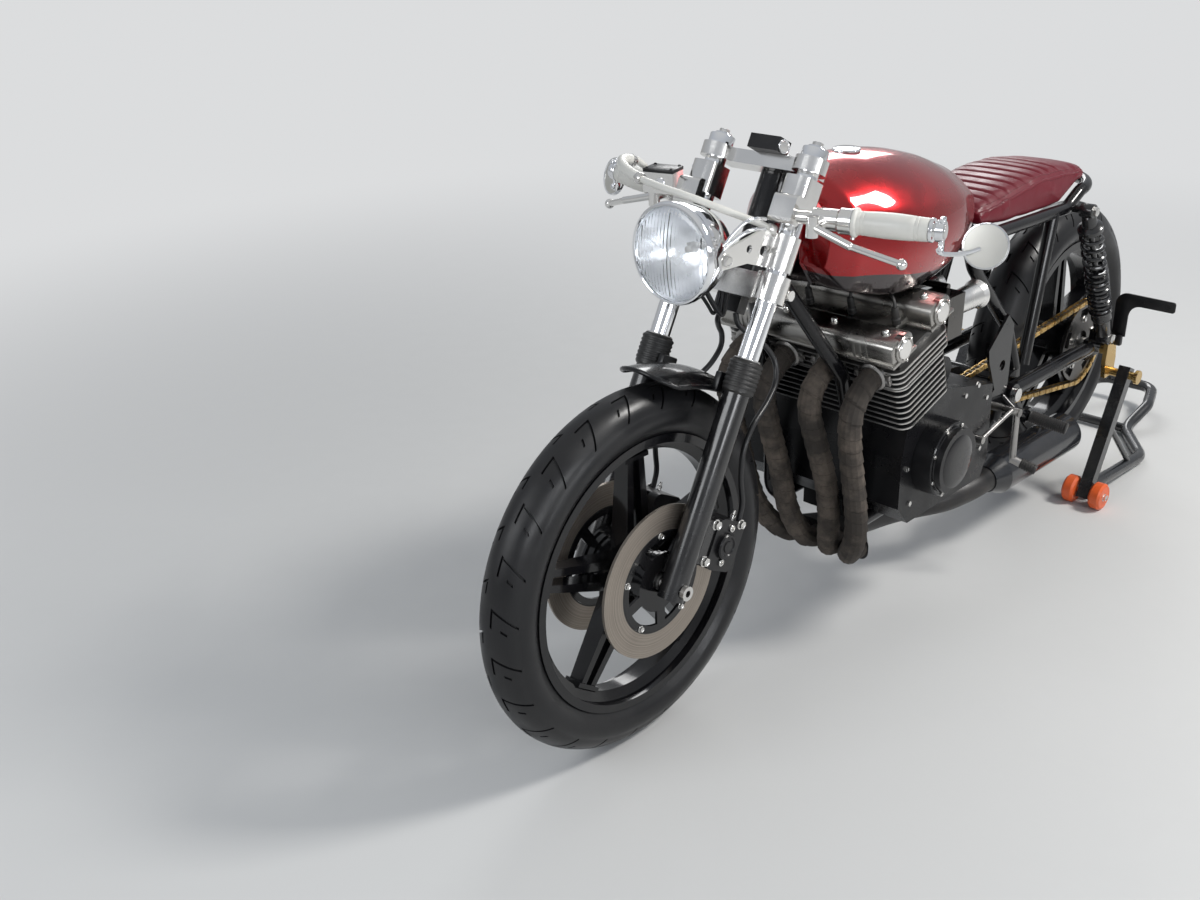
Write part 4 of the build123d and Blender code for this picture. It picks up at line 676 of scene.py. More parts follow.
# %% The tank's skin
TANK_ROWS = (
    (1095, 96, 778, 925), (1060, 126, 740, 945), (960, 160, 716, 957), (850, 165, 716, 950),
    (740, 150, 730, 925), (650, 118, 750, 893), (597, 92, 764, 866),
)
TANK_FRONT, TANK_BACK, END_ROUND = TANK_ROWS[0][0], TANK_ROWS[-1][0], 16


def tank_row(x):
    """Half width, low and high line of the tank at x."""
    for i, (ahead, behind) in enumerate(zip(TANK_ROWS, TANK_ROWS[1:])):
        if ahead[0] >= x >= behind[0]:
            share = (ahead[0] - x) / (ahead[0] - behind[0])
            return through([row[1:] for row in TANK_ROWS], (i + share) / (len(TANK_ROWS) - 1))
    return TANK_ROWS[-1][1:]


def tank_half_section(x):
    half, low, high = tank_row(x)
    tall = high - low
    ceiling = max(low + 4, min(764 + (x - 640) * 0.3172, high - 14))
    side_y, rise = 0.94 * half, 0.38 * tall
    arch = (side_y**2 + rise**2) / (2 * rise)
    tunnel = [(0, ceiling), (20, ceiling), (26, ceiling - 4), (27, low + 9), (32, low + 2)]
    belly = [(0.5 * half, low - 1), (0.8 * half, low + 0.5)]
    wall = ((0.875, 0.035), (0.945, 0.13), (0.995, 0.28), (1, 0.38), (0.985, 0.5))
    crown = (share * half for share in (0.94, 0.87, 0.74, 0.56, 0.37, 0.18, 0.0))
    return tunnel + belly + [(out * half, low + up * tall) for out, up in wall] + [
        (y, high - arch + math.sqrt(max(arch**2 - y**2, 0.0))) for y in crown]


def tank_place(u, v):
    """The rows crowd towards both ends, where the skin turns in."""
    v = min(max(v - 0.11 * math.sin(2 * math.pi * v), 0), 1)
    x = TANK_FRONT - v * (TANK_FRONT - TANK_BACK)
    side, share = half_way_round(u)
    y, z = through(tank_half_section(x), share)
    to_end = min(x - TANK_BACK, TANK_FRONT - x)
    round_off = 1 - 0.10 * max(0.0, 1 - to_end / END_ROUND) ** 2
    half, low, high = tank_row(x)
    middle = (low + high) / 2
    return mm(x, side * y * round_off, middle + (z - middle) * round_off)


tank = close_ends(wrapped(72, 64, tank_place))
modifier(tank, "BEVEL", width=0.003, segments=2, limit_method="ANGLE", angle_limit=math.radians(50))
hand_over(tank, "tank_skin", "chassis", "tank_paint", "fuel_tank", 50)

# %% [markdown]
# ## The filler cap
# A chrome flip cap sits in a shallow collar on the tank's crown. It is one turned profile with a
# domed lid and a thin waist, and a small hinge lug at its front.

# %% Filler cap
cap_low, cap_high = (Vector(corner) * 1000 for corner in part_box("filler_cap"))
cap_mid = (cap_low + cap_high) / 2
cap_r, cap_t = (cap_high.x - cap_low.x) / 2, cap_high.z - cap_low.z
cap_line = (
    (1, 0), (1, 0.35), (0.97, 0.42), (0.90, 0.46), (0.90, 0.58), (0.96, 0.64), (0.96, 0.78), (0.9, 0.9),
    (0.6, 0.985), (0, 1))
cap = turned([(cap_r * r, cap_t * z) for r, z in cap_line], 48)
put(cap, Vector((cap_mid.x, cap_mid.y, cap_low.z)) / 1000, (0, 0, 1))
lug = block((14, 16, 7), (cap_mid.x + cap_r - 4, 0, cap_low.z + 0.6 * cap_t), 2)
hand_over([cap, lug], "tank_cap", "chassis", "chrome", "filler_cap")

# %% [markdown]
# ## The seat
# The seat is a foam pad in burgundy leather. Its top panel is sewn into soft cross rolls, a welt
# with a stitch line on each side borders that panel, and the plain side walls pull in over the
# rail. The pad starts as a slightly slim closed form. Cloth pressure then swells it, so its walls
# bulge between the stiff edges as stuffed leather does. Rolls and seams are pressed in after that,
# because the remesh before the simulation would erase them.

# %% The leather
tree, shader, place, colour, relief = start(
    "seat_leather", (0.125, 0.006, 0.014), 0.32, 0.46, 700, 0.12, 0.08, (0.22, 0.03, 0.045), specular=0.4)
pores = calc(tree, "MULTIPLY_ADD", cells(tree, place, 420.0, "DISTANCE_TO_EDGE"), 0.8, noise(tree, place, 55.0, 6.0))
feed(relief, {"Height": pores, "Strength": 0.22})
feed(shader, {"Sheen Weight": 0.05, "Sheen Roughness": 0.4, "Sheen Tint": (0.9, 0.35, 0.4, 1)})

# %% The pad before it swells
SEAT_TOP = ((592, 801), (540, 808), (480, 815), (400, 823), (313, 829), (222, 826), (150, 815), (100, 805), (62, 796))
SEAT_LOW = ((592, 763), (500, 751), (380, 744), (300, 741), (238, 746), (200, 762), (166, 778), (100, 786), (62, 787))
SEAT_FRONT, SEAT_BACK, SEAT_HALF, TAIL_R, SLIM = 588, 64, 112, 104, 4.0


def height_at(rows, x):
    for (ahead, high), (behind, low) in zip(rows, rows[1:]):
        if ahead >= x >= behind:
            return high + (ahead - x) / (ahead - behind) * (low - high)
    return rows[-1][1] if x < rows[-1][0] else rows[0][1]


def seat_half(x):
    """Half width of the pad: parallel sides, eased at the nose and rounded at the tail."""
    tail = 58 + TAIL_R - x
    if tail > 0:
        return max(SEAT_HALF - TAIL_R + math.sqrt(max(TAIL_R**2 - tail**2, 0)), 14)
    return SEAT_HALF - 10 * max(0, (x - 500) / 92) ** 2


def seat_place(u, v):
    x = SEAT_FRONT - v * (SEAT_FRONT - SEAT_BACK)
    half, low, high = seat_half(x) - SLIM, height_at(SEAT_LOW, x) + SLIM * 0.6, height_at(SEAT_TOP, x) - SLIM
    crown = 15 if high - low > 30 else 9
    edge = high - crown
    section = [
        (0, low), (0.5 * half, low), (0.9 * half, low), (0.985 * half, low + 3), (half, low + 0.35 * (edge - low)),
        (half - 1, low + 0.8 * (edge - low)), (half - 5, edge + 2), (0.84 * half, edge + 0.45 * crown),
        (0.45 * half, edge + 0.88 * crown), (0, high)]
    side, share = half_way_round(u)
    y, z = through(section, share)
    return mm(x, side * y, z)


seat = close_ends(wrapped(56, 90, seat_place))
modifier(seat, "REMESH", mode="VOXEL", voxel_size=0.0052)
homes = [vertex.co.copy() for vertex in seat.data.vertices]
only(seat)
cloth = seat.modifiers.new("stuffing", "CLOTH")
cloth.settings.use_pressure = True
cloth.settings.uniform_pressure_force = 4
cloth.settings.quality = 4
cloth.settings.tension_stiffness = 18
cloth.settings.compression_stiffness = 18
cloth.settings.effector_weights.gravity = 0
cloth.point_cache.frame_start = 1
cloth.point_cache.frame_end = 20
for step in range(1, 21):
    bpy.context.scene.frame_set(step)
bpy.ops.object.modifier_apply(modifier="stuffing")
bpy.context.scene.frame_set(1)
for vertex, home in zip(seat.data.vertices, homes):
    move = vertex.co - home
    most = 0.006 if vertex.co.z > home.z - 0.002 else 0.002
    if move.length > most:
        vertex.co = home + move * (most / move.length)
    lowest = height_at(SEAT_LOW, vertex.co.x * 1000 + ROW_X) / 1000 + 0.001
    vertex.co.z = max(vertex.co.z, lowest)
modifier(seat, "SMOOTH", factor=0.5, iterations=3)
modifier(seat, "SUBSURF", levels=1, render_levels=1)
print("pad points", len(seat.data.vertices))

# %% [markdown]
# ## Rolls, welt and stitches
# The cross rolls are ten shallow channels that bow forward in the middle, deep where the thread
# pulls the leather down. They fade out at the welt. The welt runs round the top panel, 17 mm
# in from the side walls, as a thin raised cord between two grooves, with thread dashes beside it.

# %% Press the rolls into the top
ROLL_X = range(566, 241, -36)
PANEL_IN = 17.0


def panel_edge(x):
    return seat_half(x) - PANEL_IN


def channel(distance, wide):
    return math.exp(-((distance / wide) ** 2))


for vertex in seat.data.vertices:
    x, y, z = vertex.co.x * 1000 + ROW_X, vertex.co.y * 1000, vertex.co.z * 1000
    if z < (height_at(SEAT_TOP, x) + height_at(SEAT_LOW, x)) / 2 + 4:
        continue
    inside = panel_edge(x) - abs(y)
    fade = min(max((inside - 3) / 14, 0), 1)
    bow = 10 * (1 - (y / 96) ** 2)
    press = sum(4.6 * channel(x - (roll + bow), 4.2) for roll in ROLL_X) * fade
    press -= 1.4 * fade * (236 < x < 575)
    press += 2.6 * channel(inside, 2.6) - 1.6 * channel(inside + 4.5, 2.4) + 1.8 * channel(inside + 9, 2.4)
    vertex.co.z -= press / 1000
hand_over(seat, "seat_pad", "chassis", "seat_leather", "seat", 180)

# %% Stitches beside the welt
STITCH_PITCH = 8.2
skin = BVHTree.FromPolygons([v.co[:] for v in seat.data.vertices], [p.vertices[:] for p in seat.data.polygons])
turns = []
for side in SIDES:
    for offset in (5.5, -5.0):
        x = 584.0
        while x > 92:
            y = side * (panel_edge(x) - offset)
            ahead = side * (panel_edge(x - 3) - offset)
            spot, normal = skin.ray_cast(mm(x, y, 900), Vector((0, 0, -1)))[:2]
            if spot is not None:
                way = Vector((-3, ahead - y, 0)).normalized()
                way = (way - normal * way.dot(normal)).normalized()
                turns.append(Matrix.Translation(spot + normal * 0.0002) @ axes(way, normal.cross(way), normal))
            x -= STITCH_PITCH
one_stitch = block((5.2, 1.3, 1.1), bevel=0.4, segments=1)
stitches = [twin(one_stitch, turn) for turn in turns]
first_corner = stitches[0].data.vertices[0].co
one_stitch.data.transform(Matrix.Translation(first_corner - one_stitch.data.vertices[0].co))
hand_over([*stitches, one_stitch], "seat_stitches", "chassis", "seat_thread")

# %% [markdown]
# ## The tyres
# Both tyres carry long curved grooves that sweep from near the middle of the tread to its
# shoulder, each with a short hook at its inner end, and a short sipe between them. One pitch of
# the tread is a flat grid. Its columns lean along the grooves, so a groove is a run of faces with
# clean edges. Those faces are inset and sunk, and the finished tile is wrapped round the wheel as
# often as the tread repeats. The section closes through the beads and the inside.

# %% The outline of a tyre
TILE_COLUMNS, TILE_ROWS, TREAD_ROWS, REPEATS = 18, 44, 16, 24
# of each groove: its first and last column, and its first and last row from the middle
GROOVES = ((3, 3, 2, 15.2), (12, 12, -15.2, -2), (4, 9, 2, 3), (13, 16, -3, -2), (8, 8, 7, 10), (16, 16, -10, -7))


def tyre_section(radius, width, flange_r, seat_r, rim_w):
    """The outline (y, r) of half a tyre: its tread from the crown, its wall and its inside."""
    half, bead = width / 2, rim_w / 2 - 0.3
    shoulder_r, shoulder = radius - 0.34 * width, half - 6
    belly_r = (shoulder_r + flange_r) / 2
    rise = radius - shoulder_r
    arch = (shoulder**2 + rise**2) / (2 * rise)
    reach = math.asin(shoulder / arch)
    tread = [(arch * math.sin(reach * k / 8), radius - arch + arch * math.cos(reach * k / 8)) for k in range(9)]
    wall = [(half - 1.2, shoulder_r - 7), (half, belly_r), (half - 1.5, belly_r - 7), (bead + 4, flange_r + 5),
            (bead + 1.2, flange_r + 1.6), (bead, flange_r - 1)]
    return tread, wall, [(bead, seat_r + 0.4), (bead - 9, seat_r + 0.4), (bead - 14, seat_r + 14)]


print("tread repeats", REPEATS, "times")

# %% A tread tile, wrapped round the wheel
def tread_tyre(name, centre, sizes, body, node):
    radius = sizes[0]
    tread, wall, inner = tyre_section(*sizes)
    outer = [(-y, r) for y, r in reversed((tread + wall)[1:])] + tread + wall
    lengths = [0.0]
    for a, b in zip(outer, outer[1:]):
        lengths.append(lengths[-1] + math.dist(a, b))
    middle = lengths[-1] / 2
    tread_half = sum(math.dist(a, b) for a, b in zip(tread, tread[1:]))

    def on_section(s):
        """Point and outward normal at distance s from the middle of the tread."""
        want = min(max(s + middle, 0), lengths[-1] - 0.001)
        i = max(k for k in range(len(lengths) - 1) if lengths[k] <= want)
        f = (want - lengths[i]) / (lengths[i + 1] - lengths[i])
        (y0, r0), (y1, r1) = outer[i], outer[i + 1]
        way = Vector((y1 - y0, r1 - r0)).normalized()
        return y0 + f * (y1 - y0), r0 + f * (r1 - r0), Vector((-way.y, way.x))

    pitch = 2 * math.pi * radius / REPEATS
    step = (tread_half + 2) / TREAD_ROWS
    wall_step = (middle - tread_half - 2) / (TILE_ROWS / 2 - TREAD_ROWS)
    tile = grid(TILE_COLUMNS, TILE_ROWS)
    for vertex in tile.data.vertices:
        u, k = (vertex.co.x + 1) / 2, round((vertex.co.y + 1) / 2 * TILE_ROWS) - TILE_ROWS // 2
        s = min(abs(k), TREAD_ROWS) * step + max(abs(k) - TREAD_ROWS, 0) * wall_step
        vertex.co = (u * pitch, math.copysign(s, k), 0)

    def in_groove(face):
        i, j = int(face.center.x / pitch * TILE_COLUMNS), face.center.y / step
        return any(first <= i <= last and low < j < high for first, last, low, high in GROOVES)

    pick(tile, "FACE", in_groove)
    bpy.ops.mesh.inset(thickness=0.55, depth=-4.2, use_even_offset=True, use_boundary=False)
    leave()
    for vertex in tile.data.vertices:
        x, s, z = vertex.co
        y, r, normal = on_section(s)
        lean = (min(abs(s), tread_half) / tread_half) ** 1.25 * 34
        angle = (x + lean) / radius
        y, r = y + normal.x * z, r + normal.y * z
        vertex.co = (r * math.sin(angle) / 1000, y / 1000, r * math.cos(angle) / 1000)
    turns = [Matrix.Rotation(2 * math.pi * k / REPEATS, 4, "Y") for k in range(1, REPEATS)]
    skin = join([tile] + [twin(tile, turn) for turn in turns])
    edit(skin, "EDGE", "SELECT")
    bpy.ops.mesh.remove_doubles(threshold=0.0001)
    bpy.ops.mesh.select_all(action="DESELECT")
    bpy.ops.mesh.select_non_manifold(extend=False)
    for y, r in inner:
        bpy.ops.mesh.extrude_edges_move()
        leave()
        for vertex in skin.data.vertices:
            if vertex.select:
                scale = r / 1000 / math.hypot(vertex.co.x, vertex.co.z)
                vertex.co = (vertex.co.x * scale, math.copysign(y / 1000, vertex.co.y), vertex.co.z * scale)
        bpy.ops.object.mode_set(mode="EDIT")
    bpy.ops.mesh.bridge_edge_loops(number_cuts=3, smoothness=1.0)
    bpy.ops.mesh.select_all(action="SELECT")
    bpy.ops.mesh.normals_make_consistent(inside=False)
    leave()
    skin.data.transform(Matrix.Translation(mm(*centre)))
    hand_over(skin, name, body, "tyre_rubber", node, 28)


# radius, width, flange radius, bead seat radius and rim width
tread_tyre("front_tyre_tread", (1515, 0, 331), (330.8, 96, 252, 241.3, 66), "front_wheel_body", "front_tyre")
tread_tyre("rear_tyre_tread", (0, 0, 356), (330.8, 120, 242, 228.6, 90), "rear_wheel_body", "rear_tyre")

# %% [markdown]
# ## Bolts
# Bright bolts catch the eye all over a black machine. A hex bolt is a six sided prism with a
# washer face, softened corners and a shallow dish in its head. A cap screw is a turned head with
# a hex socket sunk in it. Each is modelled once, round Z and of unit size, and copied to its
# place with its own mesh.

# %% One hex bolt and one cap screw
bpy.ops.mesh.primitive_cylinder_add(vertices=6, radius=1, depth=0.7, location=(0, 0, 0))
hex_bolt = bpy.context.object
hex_bolt.data.transform(Matrix.Translation((0, 0, 0.47)))
pick(hex_bolt, "FACE", lambda face: face.normal.z > 0.9)
bpy.ops.mesh.inset(thickness=0.2, depth=0.06)
bpy.ops.mesh.inset(thickness=0.16, depth=-0.1)
leave()
washer = turned([(1.22, 0), (1.22, 0.09), (1.16, 0.13), (0.5, 0.13)], 20, unit=1)
hex_bolt = join([hex_bolt, washer])
cap_screw = turned([(0.94, 0), (1.0, 0.08), (1.0, 0.92), (0.9, 1.02), (0.56, 1.02)], 24, unit=1)
pick(cap_screw, "FACE", lambda face: face.normal.z > 0.9 and face.center.xy.length < 0.3)
bpy.ops.mesh.inset(thickness=0.06, depth=0.0)
bpy.ops.mesh.inset(thickness=0.001, depth=-0.5)
leave()


def bolt(origin, axis, size, kind=hex_bolt, sink=0.0):
    """A copy of a bolt whose across-corner radius is size. origin is in layout millimetres."""
    way = Vector(axis).normalized()
    return twin(kind, along(mm(*origin) - way * sink / 1000, way) @ Matrix.Scale(size / 1000, 4))


print("hex bolt", len(hex_bolt.data.polygons), "cap screw", len(cap_screw.data.polygons))

# %% [markdown]
# ## Points on the fork
# The fork leans back 27.5 degrees, so everything on it is placed in the fork's own frame: x
# across it towards the front, y to the side, and z up along the legs from the axle's height.

# %% The fork's frame
FORK_X, FORK_Z, LEAN = 1469.91, 307.53, math.radians(27.5)
LEG_X, LEG_Y = 50.8, 98
FORK_UP = Vector((-math.sin(LEAN), 0, math.cos(LEAN)))
FORK_FRONT = Vector((math.cos(LEAN), 0, math.sin(LEAN)))
fork_place = Matrix.Translation(mm(FORK_X, 0, FORK_Z)) @ axes(FORK_FRONT, Vector((0, 1, 0)), FORK_UP)
legs = [fork_place @ Matrix.Translation((0.05083, side * LEG_Y / 1000, 0)) for side in SIDES]


def on_fork(x, y, z):
    """A point in the fork's frame as millimetres of the machine."""
    return (FORK_X + x * math.cos(LEAN) - z * math.sin(LEAN), y, FORK_Z + x * math.sin(LEAN) + z * math.cos(LEAN))


print("fork top", on_fork(LEG_X, LEG_Y, 774))

# %% [markdown]
# ## Dust seals and fork details
# Each black slider ends in a ribbed rubber dust seal with a bright ring above it. The seal is a
# turned profile whose radius steps in and out for each rib. Small pinch bolts hold the axle, the
# caliper bolts and the clamp bolts are hex heads, and chrome caps close the fork tubes.

# %% Dust seals, chrome tubes and caps
ribs = [(19.2, 396), (22.5, 399), (24.2, 399), (24.8, 397)]
for k in range(6):
    z = 394 - k * 7.6
    ribs += [(28.2, z), (28.6, z - 1.2), (28.2, z - 3.6), (27.2, z - 4.6), (27.2, z - 6.6)]
seal = turned(ribs + [(27.4, 346), (25.5, 343), (23.6, 341)], 40)
hand_over(copies(seal, legs), "dust_seals", "steering", "soft_rubber", angle=28)
clip = turned([(18.8, 396.5), (22.5, 397.0), (23.2, 399.0), (22.5, 401.0), (18.8, 401.5)], 40)
hand_over(copies(clip, legs), "seal_clips", "steering", "zinc_bolt")
tube = turned([
    (17.6, 8), (18.5, 10), (18.5, 758), (17.9, 760), (17.9, 762.5), (14.5, 763), (14.5, 765), (13.5, 765.5)], 72)
cap = turned([(18.6, 744.2), (22.5, 744.2), (22.5, 760.0), (21.8, 761.0), (18.6, 761.2), (18.6, 744.2)], 56)
tubes = copies(tube, legs) + copies(cap, legs)
hand_over(tubes, "fork_chrome_tubes", "steering", "chrome", "fork_tubes", 40)

# %% Fork bolts, caps and pinch clamps
fork_bolts = []
for side in SIDES:
    out = (0, side, 0)
    for rise in (-33, 33):
        fork_bolts.append(bolt(on_fork(-3, side * 104, 86 + rise), out, 8.2))
    fork_bolts.append(bolt(on_fork(LEG_X - 30, side * LEG_Y, 6), -FORK_FRONT, 5.5, sink=3))
    fork_bolts.append(bolt(on_fork(LEG_X - 24, side * 112, 522), out, 7.5, sink=-1))
    fork_bolts.append(bolt(on_fork(LEG_X, side * LEG_Y, 765), FORK_UP, 9.2, sink=0.5))
    for z in (118, 56):
        fork_bolts.append(bolt(on_fork(-46, side * 107, z), out, 6.5, cap_screw, 3))
hand_over(fork_bolts, "fork_bolts", "steering", "zinc_bolt", angle=30)

# %% [markdown]
# ## Caliper castings
# The brake calipers are two black castings bolted over the disc. The CAD blocks have their size
# and their slot, so the lesson adds what a casting shows on its outside: a raised piston boss with
# a stepped face, a bleed nipple, and the bright hose bolt from which the metal pipe rises.

# %% Caliper bosses, nipples and hose bolts
boss = turned([(23.5, 0), (23.5, 6), (21.5, 8.5), (17, 8.5), (15.5, 6.5), (11, 6.5), (10, 8.5), (0, 8.8)], 36)
nipple = turned([(3.5, 0), (3.5, 5), (4.8, 5), (4.8, 8.5), (2.8, 10), (2.8, 16), (2.2, 17), (0, 17)], 16)
faces = [along(mm(*on_fork(-44, side * 106.6, 86)), (0, side, 0)) for side in SIDES]
hand_over(copies(boss, faces), "caliper_bosses", "steering", "satin_black")
fittings = copies(nipple, [along(mm(*on_fork(-70, side * 86, 130)), FORK_UP) for side in SIDES])
fittings += [bolt(on_fork(-70, side * 107, 128), (0, side, 0), 7.5) for side in SIDES]
hand_over(fittings, "caliper_fittings", "steering", "zinc_bolt", angle=30)

# %% [markdown]
# ## The front fender
# A short fender hangs between the legs. It is one pressed sheet with a rolled edge that stands
# proud like a lip, thickest across its front. A grid is laid over the arc, given a wall by the
# Solidify modifier, and a round bead follows its four edges.

# %% Fender skin and rolled edge
FENDER_HALF, FENDER_RISE, FENDER_R = 62, 22, 362


def fender_point(u, v, out=-2.0):
    """u runs across the tyre, v round it, from the front of the arc to its back."""
    across = 2 * u - 1
    arch = (FENDER_HALF**2 + FENDER_RISE**2) / (2 * FENDER_RISE)
    r = FENDER_R - arch + math.sqrt(arch**2 - (across * FENDER_HALF) ** 2) + out
    trim = 6 * abs(across) ** 3
    angle = math.radians(93 + trim + (37 - 1.5 * trim) * v)
    return mm(1515 + r * math.cos(angle), across * FENDER_HALF, 331 + r * math.sin(angle))


fender = wrapped(28, 30, lambda u, v: fender_point(u, v, -1.5))
modifier(fender, "SOLIDIFY", thickness=0.003, offset=0)
hand_over(fender, "fender_skin", "steering", "gloss_black", "front_fender")
edge = [k / 12 for k in range(12)]
corners = [(t, 0) for t in edge] + [(1, t) for t in edge] + [(1 - t, 1) for t in edge] + [(0, 1 - t) for t in edge]
bead = bent_tube([fender_point(u, v) for u, v in corners], 4.2, resolution=2, cyclic=True)
hand_over(mend(bead), "fender_bead", "steering", "gloss_black", angle=60)
stays = copies(block((40, 13, 34), (0, 0, 352), 3), [
    fork_place @ Matrix.Translation((0.05083, side * 0.0635, 0)) for side in SIDES])
stays += [bolt(on_fork(LEG_X, side * 62.5, z), (0, -side, 0), 5, sink=2) for side in SIDES for z in (342, 362)]
hand_over(stays, "fender_stays", "steering", "satin_black", angle=30)

# %% [markdown]
# ## The headlight
# A deep chrome bowl carries a round lens behind a slim bright rim. The lens glass has upright
# flutes, and through it shows a silver reflector with a small dark shield in front of the bulb.
# Bowl, rim and reflector are turned pieces. The lens is a wrapped dome whose inner side is pushed
# in and out in narrow upright bands to make the flutes.

# %% Bowl, rim, reflector and shield
LAMP_X, LAMP_Z = 1297, 865


def lamp_part(profile, count=64):
    return put(turned(profile, count), mm(LAMP_X, 0, LAMP_Z), (1, 0, 0))


bowl = lamp_part([
    (0, 0), (9, 0.5), (24, 3.5), (38, 11), (50, 22), (60, 35), (69, 51), (76, 68), (81, 85), (84, 100), (84.2, 104),
    (82.5, 105), (79, 102), (74, 84), (64, 55), (50, 30), (30, 12), (0, 6)], 72)
hand_over(bowl, "lamp_bowl", "steering", "chrome", "headlight", 40)
rim = lamp_part([
    (77.4, 104), (84.0, 103.2), (85.0, 105), (85.0, 110.5), (84.2, 114.5), (82.2, 117.4), (79.8, 118.0),
    (78.0, 116.8), (77.4, 114), (77.4, 104)], 72)
hand_over(mend(rim), "lamp_rim", "steering", "chrome", angle=40)
reflector = lamp_part([
    (77, 108.5), (74, 100), (66, 82), (54, 63), (40, 48), (24, 38), (11, 34), (11, 31), (26, 34), (43, 45), (57, 61),
    (69, 81), (76.6, 100), (77, 108.5)])
hand_over(mend(reflector), "lamp_reflector", "steering", "silvered", angle=60)
bulb = lamp_part([(0, 30), (6, 30), (6.5, 42), (6, 52), (3, 57), (0, 58)], 24)
shield = lamp_part([(0, 74), (7, 73), (9.5, 68), (9.5, 60), (8.6, 60), (8.4, 67), (0, 71)], 28)
hand_over([bulb, shield], "lamp_bulb", "steering", "zinc_bolt")

# %% The fluted lens
FLUTE_PITCH, FLUTE_DEPTH, FLUTED_R = 7.5, 1.8, 73
OUTSIDE = ((77.2, 111.5), (74, 115.4), (66, 118.4), (54, 121.2), (40, 123.6), (24, 125.3), (10, 125.9), (0, 126))
INSIDE = (
    (77.2, 111.5), (76.4, 109.4), (73, 112), (66, 115), (54, 117.8), (40, 120.2), (24, 121.9), (10, 122.5), (0, 122.6))


def lens_place(u, v):
    """One turn of the lens outline. The inner side carries the flutes."""
    outside = v <= 0.5
    r, x = through(OUTSIDE[::-1], v * 2) if outside else through(INSIDE[::-1], 2 - v * 2)
    r, angle = max(r, 0.0), 2 * math.pi * u
    y, z = r * math.cos(angle), r * math.sin(angle)
    if not outside and r < FLUTED_R:
        x -= FLUTE_DEPTH * abs(math.sin(y * math.pi / FLUTE_PITCH))
    return mm(LAMP_X + x, y, LAMP_Z + z)


lens = mend(wrapped(160, 60, lens_place))
hand_over(lens, "lamp_lens", "steering", "lens_glass", "headlight_lens", 60)

# %% [markdown]
# ## The engine's frame
# The cylinders lean 18 degrees forward of upright, so the engine's own frame has its z along the
# bores, its x across them to the front, and y along the crankshaft.

# %% Points in the engine's frame
CRANK_X, CRANK_Z, BORE_LEAN = 857, 377, math.radians(18)
BORE_UP = Vector((math.sin(BORE_LEAN), 0, math.cos(BORE_LEAN)))
BORE_FRONT = Vector((math.cos(BORE_LEAN), 0, -math.sin(BORE_LEAN)))
bore_turn = axes(BORE_FRONT, Vector((0, 1, 0)), BORE_UP)
bore_place = Matrix.Translation(mm(CRANK_X, 0, CRANK_Z)) @ bore_turn
BORES = [(k - 1.5) * 96 for k in range(4)]


def on_bores(x, y, z):
    """A point in the engine's frame as millimetres of the machine."""
    return bore_turn @ Vector((x, y, z)) + Vector((CRANK_X, 0, CRANK_Z))


# %% [markdown]
# ## Rubbed fins and covers
# The cylinders and the head are black castings whose fin edges are filed bright. The mask for
# that is the distance from each point to the rounded outline of a fin, worked out in the engine's
# frame: take the absolute x and y, subtract the half size less the corner, and measure what is
# left. Points within two millimetres of the outline turn to bare alloy.

# %% Fin material
CORNER, RUBBED = 0.022, 0.0022


def fin_metal(node, name, half_x, half_y, base):
    tree, shader, place, colour, relief = start(
        name, base, 0.28, 0.44, 1400, 0.15, 0.2, (0.05, 0.047, 0.043), specular=0.4)
    local = vector(tree, "SUBTRACT", place, mm(CRANK_X, 0, CRANK_Z))
    x = vector(tree, "DOT_PRODUCT", local, BORE_FRONT)
    y = vector(tree, "DOT_PRODUCT", local, (0, 1, 0))
    size = vector(tree, "ABSOLUTE", add(tree, "CombineXYZ", {0: x, 1: y}).outputs[0])
    beyond = vector(tree, "MAXIMUM", vector(tree, "SUBTRACT", size, (half_x - CORNER, half_y - CORNER, 0)), (0, 0, 0))
    edge = step_up(tree, vector(tree, "LENGTH", beyond), CORNER - RUBBED, CORNER - 0.4 * RUBBED)
    patchy = step_up(tree, noise(tree, place, 60.0, 4.0), 0.2, 0.5, 0.5, 1.0)
    outer = step_up(tree, calc(tree, "ABSOLUTE", y), 0.12, 0.19, 0.18, 1.0)
    rub = calc(tree, "MULTIPLY", calc(tree, "MULTIPLY", edge, patchy), outer)
    feed(shader, {"Base Color": mix(tree, rub, colour, (0.58, 0.57, 0.55, 1)), "Metallic": rub})
    nodes[node].material_slots[0].material = LOOK[name]


fin_metal("cylinders", "barrel_fins", 0.079, 0.196, (0.012, 0.012, 0.013))
fin_metal("cylinder_head", "head_fins", 0.088, 0.200, (0.030, 0.029, 0.028))
print("fins ready")

# %% [markdown]
# ## Cam covers
# Two long cam housings stand on the head, joined by a low bridge. Each is a casting with
# chamfered shoulders, cooling ribs across its outer ends, a flange along its foot, a round end
# cap with a polished face, and domed nuts on top. One housing is modelled from a block by
# chamfering it, then it is copied to the other cam.

# %% One cam housing with its ribs, flange and caps
def shoulders(obj):
    """Rounds off the two long upper edges of a block."""
    def upper(edge):
        a, b = (obj.data.vertices[k].co for k in edge.vertices)
        return a.z > 0.04 and b.z > 0.04 and abs(a.y - b.y) > 0.003

    pick(obj, "EDGE", upper)
    bpy.ops.mesh.bevel(offset=0.017, segments=3)
    leave()
    return obj


